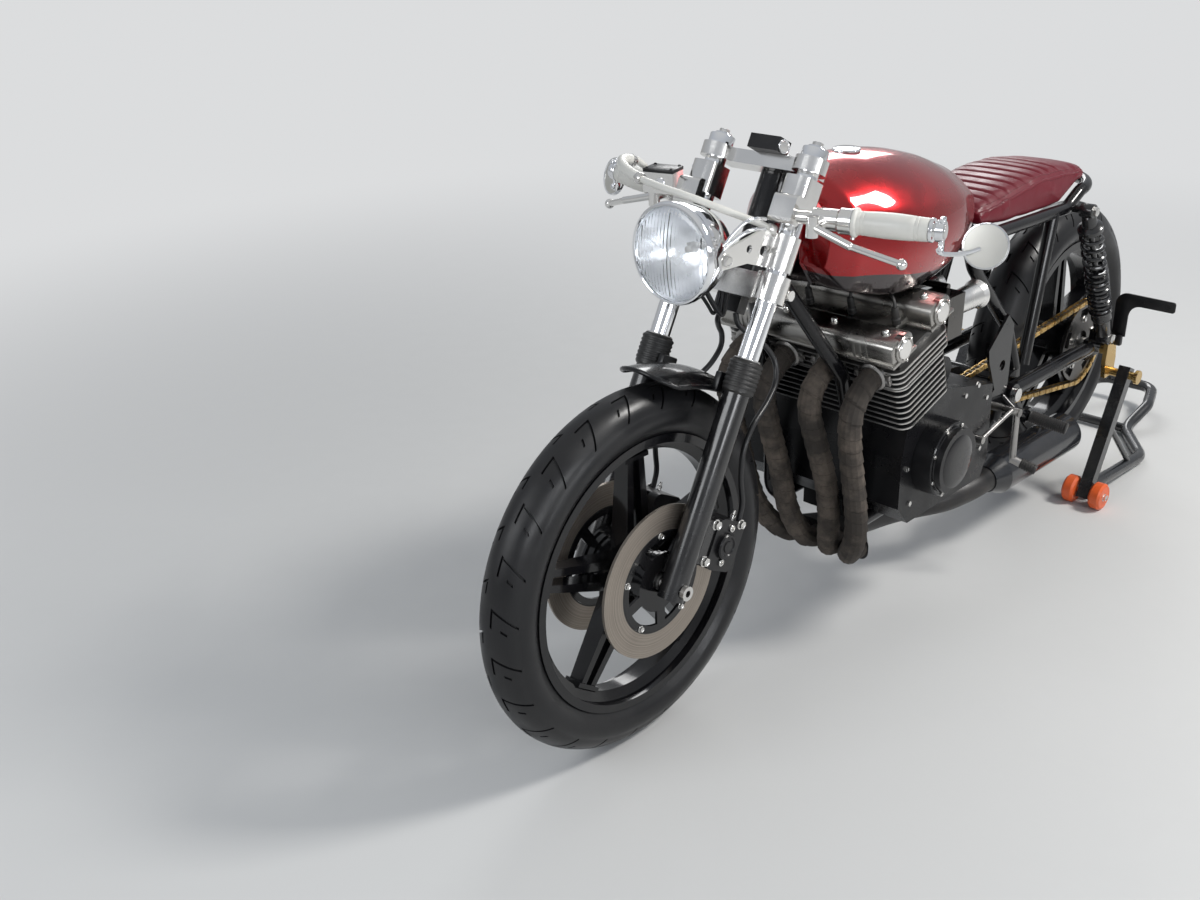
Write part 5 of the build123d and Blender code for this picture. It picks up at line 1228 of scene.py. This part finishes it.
CAP_Z, CAP_SCREW_R = 21.8, 22.5
housing = shoulders(block((68, 396, 46), (0, 0, 23)))
modifier(housing, "BEVEL", width=0.003, segments=2, limit_method="ANGLE", angle_limit=math.radians(50))
castings, brights = [housing, block((78, 402, 7), (0, 0, 3.5), 1.5)], []
for end in SIDES:
    castings += [shoulders(block((70.5, 4.2, 43), (0, end * (116 + 13 * k), 22.8))) for k in range(3)]
    socket = turned([(25.5, -12), (25.5, 2), (24, 3.5), (21.5, 3.5), (20.5, 2), (19, 2)], 36)
    castings.append(put(socket, (0, end * 0.1985, CAP_Z / 1000), (0, end, 0)))
    plug = turned([(18.8, 0), (18.8, 3.2), (17.2, 4.8), (10, 5.4), (0, 5.6)], 36)
    brights.append(put(plug, (0, end * 0.1995, CAP_Z / 1000), (0, end, 0)))
    for k in range(3):
        a = math.radians(30 + 120 * k)
        spot = Vector((CAP_SCREW_R * math.cos(a), end * 201.8, CAP_Z + CAP_SCREW_R * math.sin(a))) / 1000
        brights.append(twin(cap_screw, along(spot, (0, end, 0)) @ Matrix.Scale(0.0028, 4)))
nut = turned([(8.5, 0), (8.5, 1.2), (6.2, 1.6), (6.2, 5), (5, 7.5), (2.6, 9), (0, 9.4)], 24)
brights += copies(nut, [Matrix.Translation((0, y, 0.0455)) for y in (-0.165, -0.055, 0.055, 0.165)])
cams = [bore_place @ Matrix.Translation((side * 0.064, 0, 0.2763)) for side in SIDES]
bridge = block((118, 296, 20), (0, 0, 286.3), 4)
bridge.data.transform(bore_place)
housings = copies(join(castings), cams) + [bridge]
hand_over(housings, "cam_housings", "chassis", "worn_alloy", "cam_covers", 32)
hand_over(copies(join(brights), cams), "cam_fittings", "chassis", "polished_alloy")

# %% [markdown]
# ## Engine side covers
# The left cover over the crankshaft is a black dome with a stepped rim, and a ring of small cap
# screws holds it. The right side has the clutch cover and a smaller ignition cover. They are
# turned pieces that sit on the CAD bosses, a little proud of them but inside the model's width.

# %% Covers and their screws
# x, z, face, side, radius, height, and the ring of screws: its radius and how many
COVERS = (
    (857, 381, 230, 1, 74.5, 21, 70, 8), (857, 381, 224, -1, 58, 7, 54, 5), (705, 366, 232, -1, 86, 8, 80, 9))
RIM = ((1, -4), (1, 0), (0.975, 2), (0.90, 2), (0.88, 4.5))
DOME = ((0.86, 0.42), (0.79, 0.66), (0.66, 0.86), (0.45, 0.97), (0.22, 1.01), (0, 1.02))
covers, screws = [], []
for x, z, face, side, radius, deep, ring_r, count in COVERS:
    profile = [(radius * r, h) for r, h in RIM] + [(radius * r, deep * h) for r, h in DOME]
    covers.append(put(turned(profile, 56), mm(x, side * face, z), (0, side, 0)))
    for k in range(count):
        a = 2 * math.pi * (k + 0.5) / count
        spot = (x + ring_r * math.cos(a), side * (face + 1.5), z + ring_r * math.sin(a))
        screws.append(bolt(spot, (0, side, 0), 4, cap_screw, 1))
hand_over(covers, "engine_covers", "chassis", "gloss_black", angle=40)
for x, z in ((660, 440), (700, 478), (748, 470), (668, 330), (720, 292), (790, 280), (930, 300), (950, 380)):
    for side in SIDES:
        if math.dist((x, z), (705, 366)) > 95 or side > 0:
            screws.append(bolt((x, side * 190, z), (0, side, 0), 5.5, sink=1))
screws += [bolt((785, y, 205), (0, 0, -1), 6, sink=2) for y in (-60, 0, 60)]
hand_over(screws, "engine_screws", "chassis", "zinc_bolt", angle=30)

# %% [markdown]
# ## Spark plugs and leads
# Four plug caps stand in the valley between the cam housings, and their leads run back under the
# tank. Each lead is a short bent tube.

# %% Plug caps and leads
plug = turned([(8.5, 0), (8.5, 10), (7, 12), (7, 30), (5, 34), (0, 34)], 20)
plug_parts = copies(plug, [bore_place @ Matrix.Translation((0, y / 1000, 0.300)) for y in BORES])
for y in BORES:
    lead = [on_bores(0, y, 330), on_bores(-4, y, 345), on_bores(-26, y * 0.8, 350)]
    lead += [(860, y * 0.45, 700), (820, y * 0.25, 708)]
    plug_parts.append(bent_tube([mm(*p) for p in lead], 3.5, sides=1))
hand_over(plug_parts, "plug_leads", "chassis", "soft_rubber")

# %% [markdown]
# ## Wrapped exhaust headers
# The four header pipes are bound with woven heat tape. The tape is wound as a helix, and each
# turn overlaps the last by a little, so along the pipe the radius rises slowly and then drops at
# each edge. The pipe is a bent tube with many rings, and its points are moved out by that saw
# tooth. The tape's grey brown colour is patchy from heat and road dirt. Its colour is also made
# nearly black along each tape edge, as painted shade where one turn steps down onto the next.

# %% Header tape
tree, shader, place, colour, relief = start(
    "header_tape", (0.045, 0.039, 0.034), 0.72, 0.92, 1600, 0.5, 0.85, (0.165, 0.135, 0.11), specular=0.25)
weave = calc(tree, "MULTIPLY_ADD", cells(tree, place, 620.0), 0.6, noise(tree, place, 240.0, 5.0))
feed(relief, {"Height": weave, "Distance": 0.0012})
# Painted shade: the tape's colour goes nearly black next to each step, and a little less dark at each raised lip.
winding = add(tree, "Attribute", attribute_name="winding").outputs["Fac"]
painted_shade_below_step, painted_shade_at_lip = step_up(tree, winding, 0.0, 0.09, 0.25, 1.0), step_up(tree, winding, 0.92, 1.0, 1.0, 0.35)
outside_painted_shade = calc(tree, "MULTIPLY", painted_shade_below_step, painted_shade_at_lip)
feed(shader, {"Base Color": mix(tree, outside_painted_shade, (0.010, 0.009, 0.008, 1), colour)})

TURN_LONG, TAPE_LIFT, TAPE_SINK = 0.029, 0.0022, 0.0006


def wound(points, radius, sides=5):
    """A bent tube whose skin is wound with overlapping tape."""
    obj = bent_tube(points, radius, resolution=46, sides=sides)
    corners = 4 + 2 * sides
    skin = obj.data.vertices
    places = [vertex.co.copy() for vertex in skin]
    # The phase along each turn is kept as the winding attribute, and the tape's painted edge shade reads it.
    winding = obj.data.attributes.new("winding", "FLOAT", "POINT")
    rings = [places[k:k + corners] for k in range(0, len(places) - corners + 1, corners)]
    centres = [sum(ring, Vector()) / corners for ring in rings]
    run = 0.0
    for k, (ring, centre) in enumerate(zip(rings, centres)):
        run += (centre - centres[max(k - 1, 0)]).length
        for j, point in enumerate(ring):
            phase = (run / TURN_LONG + j / corners) % 1.0
            winding.data[k * corners + j].value = phase
            skin[k * corners + j].co = point + (point - centre).normalized() * (TAPE_LIFT * phase**1.4 - TAPE_SINK)
    return obj


# the left pipes below their ports, outer and inner
OUTER = (
    (1088, 144, 520), (1062, 138, 420), (1024, 134, 300), (1004, 124, 226), (975, 92, 172), (941, 68, 150),
    (905.3, 68, 150))
INNER = (
    (1090, 52, 520), (1056, 56, 430), (1014, 56, 330), (996, 54, 250), (974, 40, 184), (945, 23, 150),
    (905.3, 23, 150))
pipes = []
for side in SIDES:
    for port, rest in ((1.5, OUTER), (0.5, INNER)):
        points = [on_bores(x, side * 96 * port, 240) for x in (88.3, 122)] + [(x, side * y, z) for x, y, z in rest]
        pipes.append(wound([mm(*p) for p in points], 21.8))
hand_over(pipes, "wrapped_headers", "chassis", "header_tape", "exhaust_headers", 24)
collars = []
for y in BORES:
    collar = turned([(22.5, 0), (29, 0), (29, 6), (27, 7.5), (24.5, 9), (22.5, 9)], 36)
    collars.append(put(collar, mm(*on_bores(88.2, y, 240)), BORE_FRONT))
    for end in SIDES:
        collars.append(bolt(on_bores(92, y + end * 34, 240), BORE_FRONT, 5.5, sink=1))
        collars.append(put(block((12, 22, 6), (0, 0, 3), 1), mm(*on_bores(88.2, y + end * 32, 240)), BORE_FRONT))
hand_over(collars, "port_collars", "chassis", "bare_steel", angle=30)

# %% [markdown]
# ## Grips and bar ends
# The grips are cream rubber barrels: slim at the ends, fuller in the middle, with a flange at the
# inner end and two fine grooves near each end. A polished clamp closes each bar end and carries
# the mirror's bent arm. The right side is the left one mirrored.

# %% Grips
BAR_IN, BAR_OUT, BAR_TURN = Vector((1214, 212, 913)), Vector((1177, 337, 913)), math.radians(16.5)
bar_way = (BAR_OUT - BAR_IN).normalized()


def bar_part(profile, count):
    """A piece turned round the left bar. Its steps are measured out from the grip's start."""
    return put(turned(profile, count), mm(*BAR_IN), bar_way)


grip_line = [
    (11.2, 0), (23.2, 0), (23.8, 1.5), (23.8, 4.5), (22.8, 6), (19.6, 7.5), (19.0, 12),
    (18.4, 12.5), (18.4, 13.7), (19.1, 14.2), (19.2, 18), (18.6, 18.5), (18.6, 19.7), (19.3, 20.2)]
grip_line += [(19.3 + 1.4 * math.sin(math.pi * k / 10), 20.2 + 7.8 * k) for k in range(1, 11)]
grip_line += [
    (18.7, 99.0), (18.7, 100.2), (19.2, 100.7), (19.1, 104.5), (18.5, 105.0), (18.5, 106.2),
    (19.0, 106.7), (18.6, 118.0), (17.6, 120.5), (11.2, 121.0)]
hand_over(both_sides([bar_part(grip_line, 48)]), "grip_rubbers", "steering", "cable_white", "grips")

# %% Bar-end clamps, collars and screws
bar_parts = [
    bar_part([(11.2, 121.4), (18.6, 121.4), (19.2, 122.2), (19.2, 126.5), (18.6, 127.5), (11.2, 127.6)], 40),
    bar_part([(11.2, -1.2), (22.2, -1.2), (22.2, -2.4), (19.5, -3.0), (11.2, -3.0)], 40)]
for k in (-20, 6):
    spot = BAR_IN + bar_way * k + Vector((12, 0, -21))
    bar_parts.append(bolt(spot, (0.3, 0, -1), 3.4, cap_screw, -0.5))
for z in (668, 694.4):
    bar_parts.append(bolt(on_fork(LEG_X + 17, LEG_Y + 16, z), FORK_FRONT, 5.5, cap_screw, -8))
hand_over(both_sides(bar_parts), "bar_fittings", "steering", "chrome")

# %% [markdown]
# ## Brake fluid box and top of the forks
# The right bar has a small square fluid box with a dark lid, four lid screws and a round sight
# glass. The instrument between the clamps is a black box with a chrome oval on its left end.

# %% Fluid box lid, sight glass and instrument rim
lid_turn = Matrix.Translation(mm(1253.024, -158, 935)) @ Matrix.Rotation(BAR_TURN, 4, "Z")
lid = block((46, 58, 7), (0, 0, 20.5), 1.8)
lid.data.transform(lid_turn)
lid_screws = [
    twin(cap_screw, lid_turn @ Matrix.Translation((dx, dy, 0.0232)) @ Matrix.Scale(0.0026, 4))
    for dx in (-0.017, 0.017) for dy in (-0.023, 0.023)]
hand_over([lid, *lid_screws], "fluid_lid", "steering", "satin_black")
sight = turned([(9.5, 0), (9.5, 1.6), (8.5, 2.4), (6.6, 2.4), (6.2, 1.2), (0, 1.2)], 28)
sight.data.transform(lid_turn @ along((0.0218, 0.004, 0.0), (1, 0, 0)))
hand_over(sight, "sight_glass", "steering", "chrome")

DIAL_R, DIAL_FLAT = 0.0150, 0.68
ring = [2 * math.pi * k / 20 for k in range(20)]
oval = bent_tube([(DIAL_R * math.cos(a), DIAL_R * DIAL_FLAT * math.sin(a), 0) for a in ring], 1.7, 3, cyclic=True)
dial = turned([(15, -1), (15, 0.4), (0, 0.8)], 40)
dial.data.transform(Matrix.Diagonal((1, DIAL_FLAT, 1, 1)))
shift = fork_place @ Matrix.Translation((0.05483, 0.0374, 0.7563)) @ Matrix.Rotation(math.radians(-90), 4, "X")
for part in (oval, dial):
    part.data.transform(shift)
hand_over(oval, "gauge_rim", "steering", "chrome", angle=60)
hand_over(dial, "gauge_dial", "steering", "polished_alloy", angle=60)

# %% [markdown]
# ## Cable sleeve and lamp fittings
# The throttle cable stays the CAD's own run, held at both ends. Its upper arm wears a thicker
# white sleeve that ends in a metal ferrule, and a plated elbow turns it into the throttle housing.
# The ears have a bright hex bolt and washer at the lamp, and two chrome arcs run to the clamp.

# %% Sleeve, ferrules and ear bolts
def run_tube(points, radius, resolution, sides=3):
    """A bent tube along points in millimetres of the machine's layout."""
    return bent_tube([mm(*point) for point in points], radius, resolution, sides)


SLEEVE = ((1276, -211, 968), (1298, -210, 974.5), (1323, -193, 971), (1339, -158, 963.5), (1345, -130, 959))
hand_over(run_tube(SLEEVE, 9.2, 12, 5), "cable_sleeve", "steering", "cable_white")
ferrule = turned([(6.2, -6), (8.8, -5), (10, -1), (10, 6), (9.2, 8), (6.6, 8.5)], 28)
ends = copies(ferrule, [
    along(mm(*SLEEVE[-1]), (0.05, 1, -0.16)), along(mm(*SLEEVE[0]), (-0.6, 0, -0.6)),
    along(mm(1262, 84, 890), (-0.7, 0.45, -0.5))])
for side in SIDES:
    ends.append(bolt((1385, side * 90.3, 865), (0, side, 0), 9.5))
    ends.append(bolt(on_fork(LEG_X + 24, side * LEG_Y, 582), FORK_FRONT, 5.5, cap_screw, 2))
hand_over(ends, "lamp_fittings", "steering", "zinc_bolt", angle=30)

# %% Chrome arcs and lamp wires
arcs = [run_tube((
    (1392, 92, 884 + lift * 0.3), (1372, 104, 905 + lift), (1335, 112, 912 + lift), (1305, 106, 902 + lift)), 3.2, 10)
    for lift in (0, 17)]
hand_over(arcs, "chrome_arcs", "steering", "chrome", angle=60)
wires = [run_tube((
    (1330 + 5 * k, dy, 792), (1318, 8 + dy, 762 + dz), (1300 + 4 * k, 14 + dy, 735), (1288, 6 + dy, 760 + dz),
    (1270, dy, 790)), 3.3, 10, 2) for k, (dy, dz) in enumerate(((0, 0), (9, -6), (-8, -3)))]
hand_over(wires, "lamp_wires", "steering", "hose_black", angle=60)

# %% [markdown]
# ## Bar-end mirrors
# Each round mirror hangs on a bent stem below its bar end. The stem starts at an upright clip
# with two screws and ends on the mirror's pale satin back, inside a raised chrome rim. The glass
# sits in the rim's other side, so the view from the saddle is right too.

# %% Stems, rims, backs and glass
centre, facing = Vector((1127, 396, 888)), Vector((0.92, 0.30, 0.25)).normalized()


def mirror_part(profile):
    return put(turned(profile, 72), mm(*centre), facing)


stem_end = centre + facing * 4.2 + Vector((2, -6, -4))
clip = block((13, 9, 60), (0, 0, -7), 3)
clip.data.transform(Matrix.Translation(mm(1174.4, 346, 913)) @ Matrix.Rotation(BAR_TURN, 4, "Z"))
metal = [
    run_tube(((1174, 346, 896), (1174, 346, 880), (1171, 348, 876), (1142, 372, 874), stem_end), 3.8, 8), clip,
    bar_part([(11.2, 131.4), (16.5, 131.4), (17, 132), (17, 143.3), (16.2, 143.9), (11.2, 143.9), (11.2, 131.4)], 36)]
metal += [bolt((1180.5, 347.5, z), (0.95, 0.3, 0), 5, cap_screw, 1) for z in (930, 885)]
metal.append(mirror_part([
    (33.0, -3.8), (34.0, -4.5), (35.5, -4.3), (36.0, -3.0), (36.0, 3.0), (35.5, 4.3), (34.3, 4.5), (33.5, 3.2),
    (33.0, 3.0), (33.0, -3.8)]))
hand_over(both_sides(metal), "mirror_stems", "steering", "chrome", "mirrors")
back = mirror_part([(0, 1.8), (33.2, 1.8), (33.2, 3.0), (28, 3.6), (15, 4.1), (0, 4.3)])
hand_over(both_sides([back]), "mirror_backs", "steering", "pale_back")
glass = mirror_part([(0, -3.8), (33.2, -3.6), (33.2, -2.2), (0, -2.2)])
hand_over(both_sides([glass]), "mirror_glasses", "steering", "mirror_glass")

# %% [markdown]
# ## The shock absorbers
# Each damper has a black spring in two rates: five open turns at the top and tight turns below,
# then the smooth damper body. The spring is one wire along a helix whose pitch changes, so it is
# a curve with a round bevel. The body, the collars and the eyes at both ends are turned.

# %% Springs, bodies and eyes
SHOCK_TOP, SHOCK_LOW, SHOCK_Y = Vector((204, 0, 730)), Vector((16, 0, 388)), 151
shock_way, top = (SHOCK_TOP - SHOCK_LOW).normalized(), (SHOCK_TOP - SHOCK_LOW).length
COIL_R, COIL_FOOT, STEPS_A_TURN = 22.6, 96, 14
OPEN_TURNS, TIGHT_TURNS, OPEN_PITCH, TIGHT_PITCH = 5.5, 9, 18.5, 9.4


def spring_wire():
    """Helix points from the top down: wide pitch first, then a tight one."""
    z = top - 52
    total = OPEN_TURNS + TIGHT_TURNS
    scale = (z - COIL_FOOT) / (OPEN_TURNS * OPEN_PITCH + TIGHT_TURNS * TIGHT_PITCH)
    steps = int(total * STEPS_A_TURN)
    points = []
    for k in range(steps + 1):
        t = total * k / steps
        angle = 2 * math.pi * t
        points.append(Vector((COIL_R * math.cos(angle), COIL_R * math.sin(angle), z)) / 1000)
        z -= (OPEN_PITCH if t < OPEN_TURNS else TIGHT_PITCH) * scale * total / steps
    return points


shock_parts = [bent_tube(spring_wire(), 4.6, 2, 2)]
shock_parts.append(turned([
    (12, 10), (17, 14), (20, 20), (20.5, 60), (22, 66), (24, 68), (24, 88), (27, 90), (27.6, 92), (27.6, 96), (20, 98),
    (13, 100), (13, 200)], 40))
shock_parts.append(turned([(6.2, 190), (6.2, top - 52)], 24))
shock_parts.append(turned([
    (10, top - 58), (27.2, top - 56), (27.6, top - 53), (27.6, top - 46), (24, top - 43), (17, top - 40),
    (15, top - 14), (9, top - 8)], 40))
eye = turned([(15, -14.5), (15.8, -13), (15.8, 13), (15, 14.5)], 36)
shock_parts += copies(eye, [along((0, 0, z), (0, 1, 0), (1, 0, 0)) for z in (0, top / 1000)])
shocks = copies(join(shock_parts), [
    along(mm(SHOCK_LOW.x, side * SHOCK_Y, SHOCK_LOW.z), shock_way, (0, 1, 0)) for side in SIDES])
hand_over(shocks, "spring_dampers", "chassis", "shock_black", "shock_absorbers", 40)
studs = [
    bolt((p.x, side * 165.6, p.z), (0, side, 0), 10.5, sink=1.5) for side in SIDES for p in (SHOCK_TOP, SHOCK_LOW)]
hand_over(studs, "shock_nuts", "chassis", "zinc_bolt", angle=30)

# %% [markdown]
# ## The drive chain
# The chain is a hundred links of gold side plates with steel rollers between them. One plate
# pair is modelled from a short cylinder, pinched at its waist, and copied along the closed loop
# of two straight runs and two arcs. Inner and outer pairs alternate in width.

# %% The loop
REAR_C, FRONT_C = Vector((0, 356)), Vector((565, 385))
REAR_R, FRONT_R, CHAIN_Y, PITCH = 103.0, 43.0, 86.0, 15.875
way = FRONT_C - REAR_C
tilt, lean = math.atan2(way.y, way.x), math.asin((REAR_R - FRONT_R) / way.length)
straight = math.sqrt(way.length**2 - (REAR_R - FRONT_R) ** 2)
upper, lower = tilt + math.pi / 2 - lean, tilt - math.pi / 2 + lean
# of each run: its circle, the angle on it where the run starts, its length, and if it is an arc
LOOP = (
    (REAR_C, REAR_R, upper, straight, False), (FRONT_C, FRONT_R, upper, FRONT_R * (math.pi - 2 * lean), True),
    (FRONT_C, FRONT_R, lower, straight, False), (REAR_C, REAR_R, lower, REAR_R * (math.pi + 2 * lean), True))
whole = sum(length for _, _, _, length, _ in LOOP)
LINKS = 2 * round(whole / PITCH / 2)
link_pitch = whole / LINKS
print("chain", round(whole), "mm,", LINKS, "links")


def on_chain(d):
    """The place on the chain's centre line at distance d, and its heading."""
    for centre, r, angle, length, arc in LOOP:
        if d < length:
            break
        d -= length
    angle -= d / r if arc else 0
    heading = angle - math.pi / 2
    point = centre + r * Vector((math.cos(angle), math.sin(angle)))
    if not arc:
        point += d * Vector((math.cos(heading), math.sin(heading)))
    return Matrix.Translation(mm(point.x, CHAIN_Y, point.y)), heading


# %% Links along the loop
def side_plate(y):
    """A figure of eight plate at one side of the chain, from a cylinder that is pulled to shape."""
    bpy.ops.mesh.primitive_cylinder_add(vertices=20, radius=0.0066, depth=0.0018, location=(0, 0, 0))
    plate = bpy.context.object
    for vertex in plate.data.vertices:
        x, z, out = vertex.co
        stretch = math.copysign(link_pitch / 2000, x) if abs(x) > 0.001 else 0
        pinch = 0.78 if abs(x) < 0.0022 else 1.0
        vertex.co = (x + stretch, y + out, z * pinch)
    return plate


plates, rollers = [], []
pin = turned([(2.4, -9.6), (2.7, -9.4), (2.7, 9.4), (2.4, 9.6)], 10)
roller = turned([(4.4, -3.6), (5.0, -3.2), (5.0, 3.2), (4.4, 3.6)], 12)
pairs = [join([side_plate(reach), side_plate(-reach)]) for reach in (0.0054, 0.0078)]
for k in range(LINKS):
    spot, heading = on_chain((k + 0.5) * link_pitch)
    plates.append(twin(pairs[k % 2], spot @ Matrix.Rotation(-heading, 4, "Y")))
    shift = on_chain(k * link_pitch)[0] @ Matrix.Rotation(math.radians(90), 4, "X")
    rollers.append(twin(roller, shift))
    plates.append(twin(pin, shift))
for pattern in (pin, roller, *pairs):
    bpy.data.objects.remove(pattern)
hand_over(mend(join(plates), 0.000001), "chain_plates", "chassis", "chain_gold", "drive_chain", 40)
hand_over(rollers, "chain_rollers", "chassis", "roller_steel", angle=40)

# %% [markdown]
# ## The plate bracket
# A flat steel bracket stands by the rear axle and reaches out to the left, with a curved gusset
# where its leg meets its arm. Its outline is one flat n-gon that is filled and given a thickness.
# It is blank: the number plate it is made for is not part of this object.

# %% Bracket from its outline
def arc_points(y, z, r, start, end, count):
    angles = [math.radians(start + (end - start) * k / count) for k in range(count + 1)]
    return [(y + r * math.cos(a), z + r * math.sin(a)) for a in angles]


outline = [(154, 387), (186, 387), (186.5, 440)] + arc_points(214, 440, 27, 180, 90, 8)[1:]
outline += arc_points(286, 473, 6, -90, 0, 4) + arc_points(286, 487, 6, 0, 90, 4)
outline += arc_points(180, 467, 27, 90, 180, 8)
bpy.ops.mesh.primitive_circle_add(vertices=len(outline), radius=1, fill_type="NGON", location=(0, 0, 0))
bracket = bpy.context.object
for vertex, (y, z) in zip(bracket.data.vertices, outline):
    vertex.co = mm(-20, y, z)
modifier(bracket, "SOLIDIFY", thickness=0.0048, offset=0)
modifier(bracket, "BEVEL", width=0.0008, segments=2, limit_method="ANGLE")
foot = block((13, 15, 26), (-16 - ROW_X, 174, 378), 2)
washer = turned([(6.2, 0), (6.2, 0.6), (3.6, 0.6), (3.6, 0), (6.2, 0)], 24)
washers = copies(washer, [along(mm(-17.6, y, 480), (1, 0, 0)) for y in (215, 275)])
bracket_parts = [mend(bracket, 0.000001), foot, *washers]
hand_over(bracket_parts, "bracket_plate", "chassis", "satin_black", "plate_bracket")

# %% [markdown]
# ## Pivot, sprocket and stand bolts
# Bright hex bolts close the swingarm's pivot and the stand rollers' axles. Five hold the rear
# sprocket, and five hold each front disc on its carrier. The wheels' bolts ride on the wheels.

# %% Bolts of the rear, the sprocket and the disc carriers
rear_bolts, sprocket_bolts, carrier_bolts = [], [], []
for side in SIDES:
    rear_bolts.append(bolt((440, side * 150, 368), (0, side, 0), 13, sink=6))
    for end in SIDES:
        rear_bolts.append(bolt((124, side * 205 + end * 47.6, 33), (0, end, 0), 8, sink=1))
for k in range(5):
    a = 2 * math.pi * (k + 0.25) / 5
    sprocket_bolts.append(bolt((60 * math.cos(a), 89.4, 356 + 60 * math.sin(a)), (0, 1, 0), 7))
    for side in SIDES:
        spot = (1515 + 87 * math.cos(a), side * 69.6, 331 + 87 * math.sin(a))
        carrier_bolts.append(bolt(spot, (0, side, 0), 5, sink=0.5))
hand_over(rear_bolts, "rear_bolts", "chassis", "zinc_bolt", angle=30)
hand_over(sprocket_bolts, "sprocket_bolts", "rear_wheel_body", "zinc_bolt", angle=30)
hand_over(carrier_bolts, "carrier_bolts", "front_wheel_body", "zinc_bolt", angle=30)

# %% [markdown]
# ## Peg and toe rubbers
# Each footpeg has a ribbed rubber sleeve, and the shift and brake levers have a shorter one at
# the toe. Both are turned from a profile of raised ribs.

# %% Ribbed rubbers
def ribbed(low, high, first, pitch, wide, count):
    """The steps of raised ribs, each wide, from the height first on."""
    rib = ((low, 0), (high, 0.8), (high, wide - 0.8), (low, wide))
    return [(r, first + pitch * k + rise) for k in range(count) for r, rise in rib]


peg_line = [(10.5, 2), (12.8, 4)] + ribbed(12.0, 13.8, 6, 4.6, 3.4, 16) + [(12.8, 80.8), (13.4, 82.5), (12.0, 84.6)]
peg = put(turned(peg_line, 28), mm(436, 182, 326), (-16, 82, -14))
hand_over(both_sides([peg]), "peg_rubbers", "chassis", "peg_rubber", "footpegs", 25)
toe = turned([(9.2, 0)] + ribbed(10.4, 11.8, 1, 5.5, 4.2, 6) + [(10.0, 35.0), (0, 35.6)], 24)
toes = copies(toe, [along(mm(529, 219.5, 256), (-12, 51, -16)), along(mm(575, -219.5, 296), (24, -50, -10))])
hand_over(toes, "toe_rubbers", "chassis", "peg_rubber", angle=25)

# %% [markdown]
# ## Putting the patterns away
# The two bolts that were copied are patterns, and not pieces of the machine, so they go.

# %% Remove the patterns
for pattern in (hex_bolt, cap_screw):
    bpy.data.objects.remove(pattern)

# %% [markdown]
# ## Clearing the selection
# Nothing is left selected at the end. The visual pieces have to stay inside the CAD
# model's box.

# %% Clear the selection
bpy.ops.object.select_all(action="DESELECT")
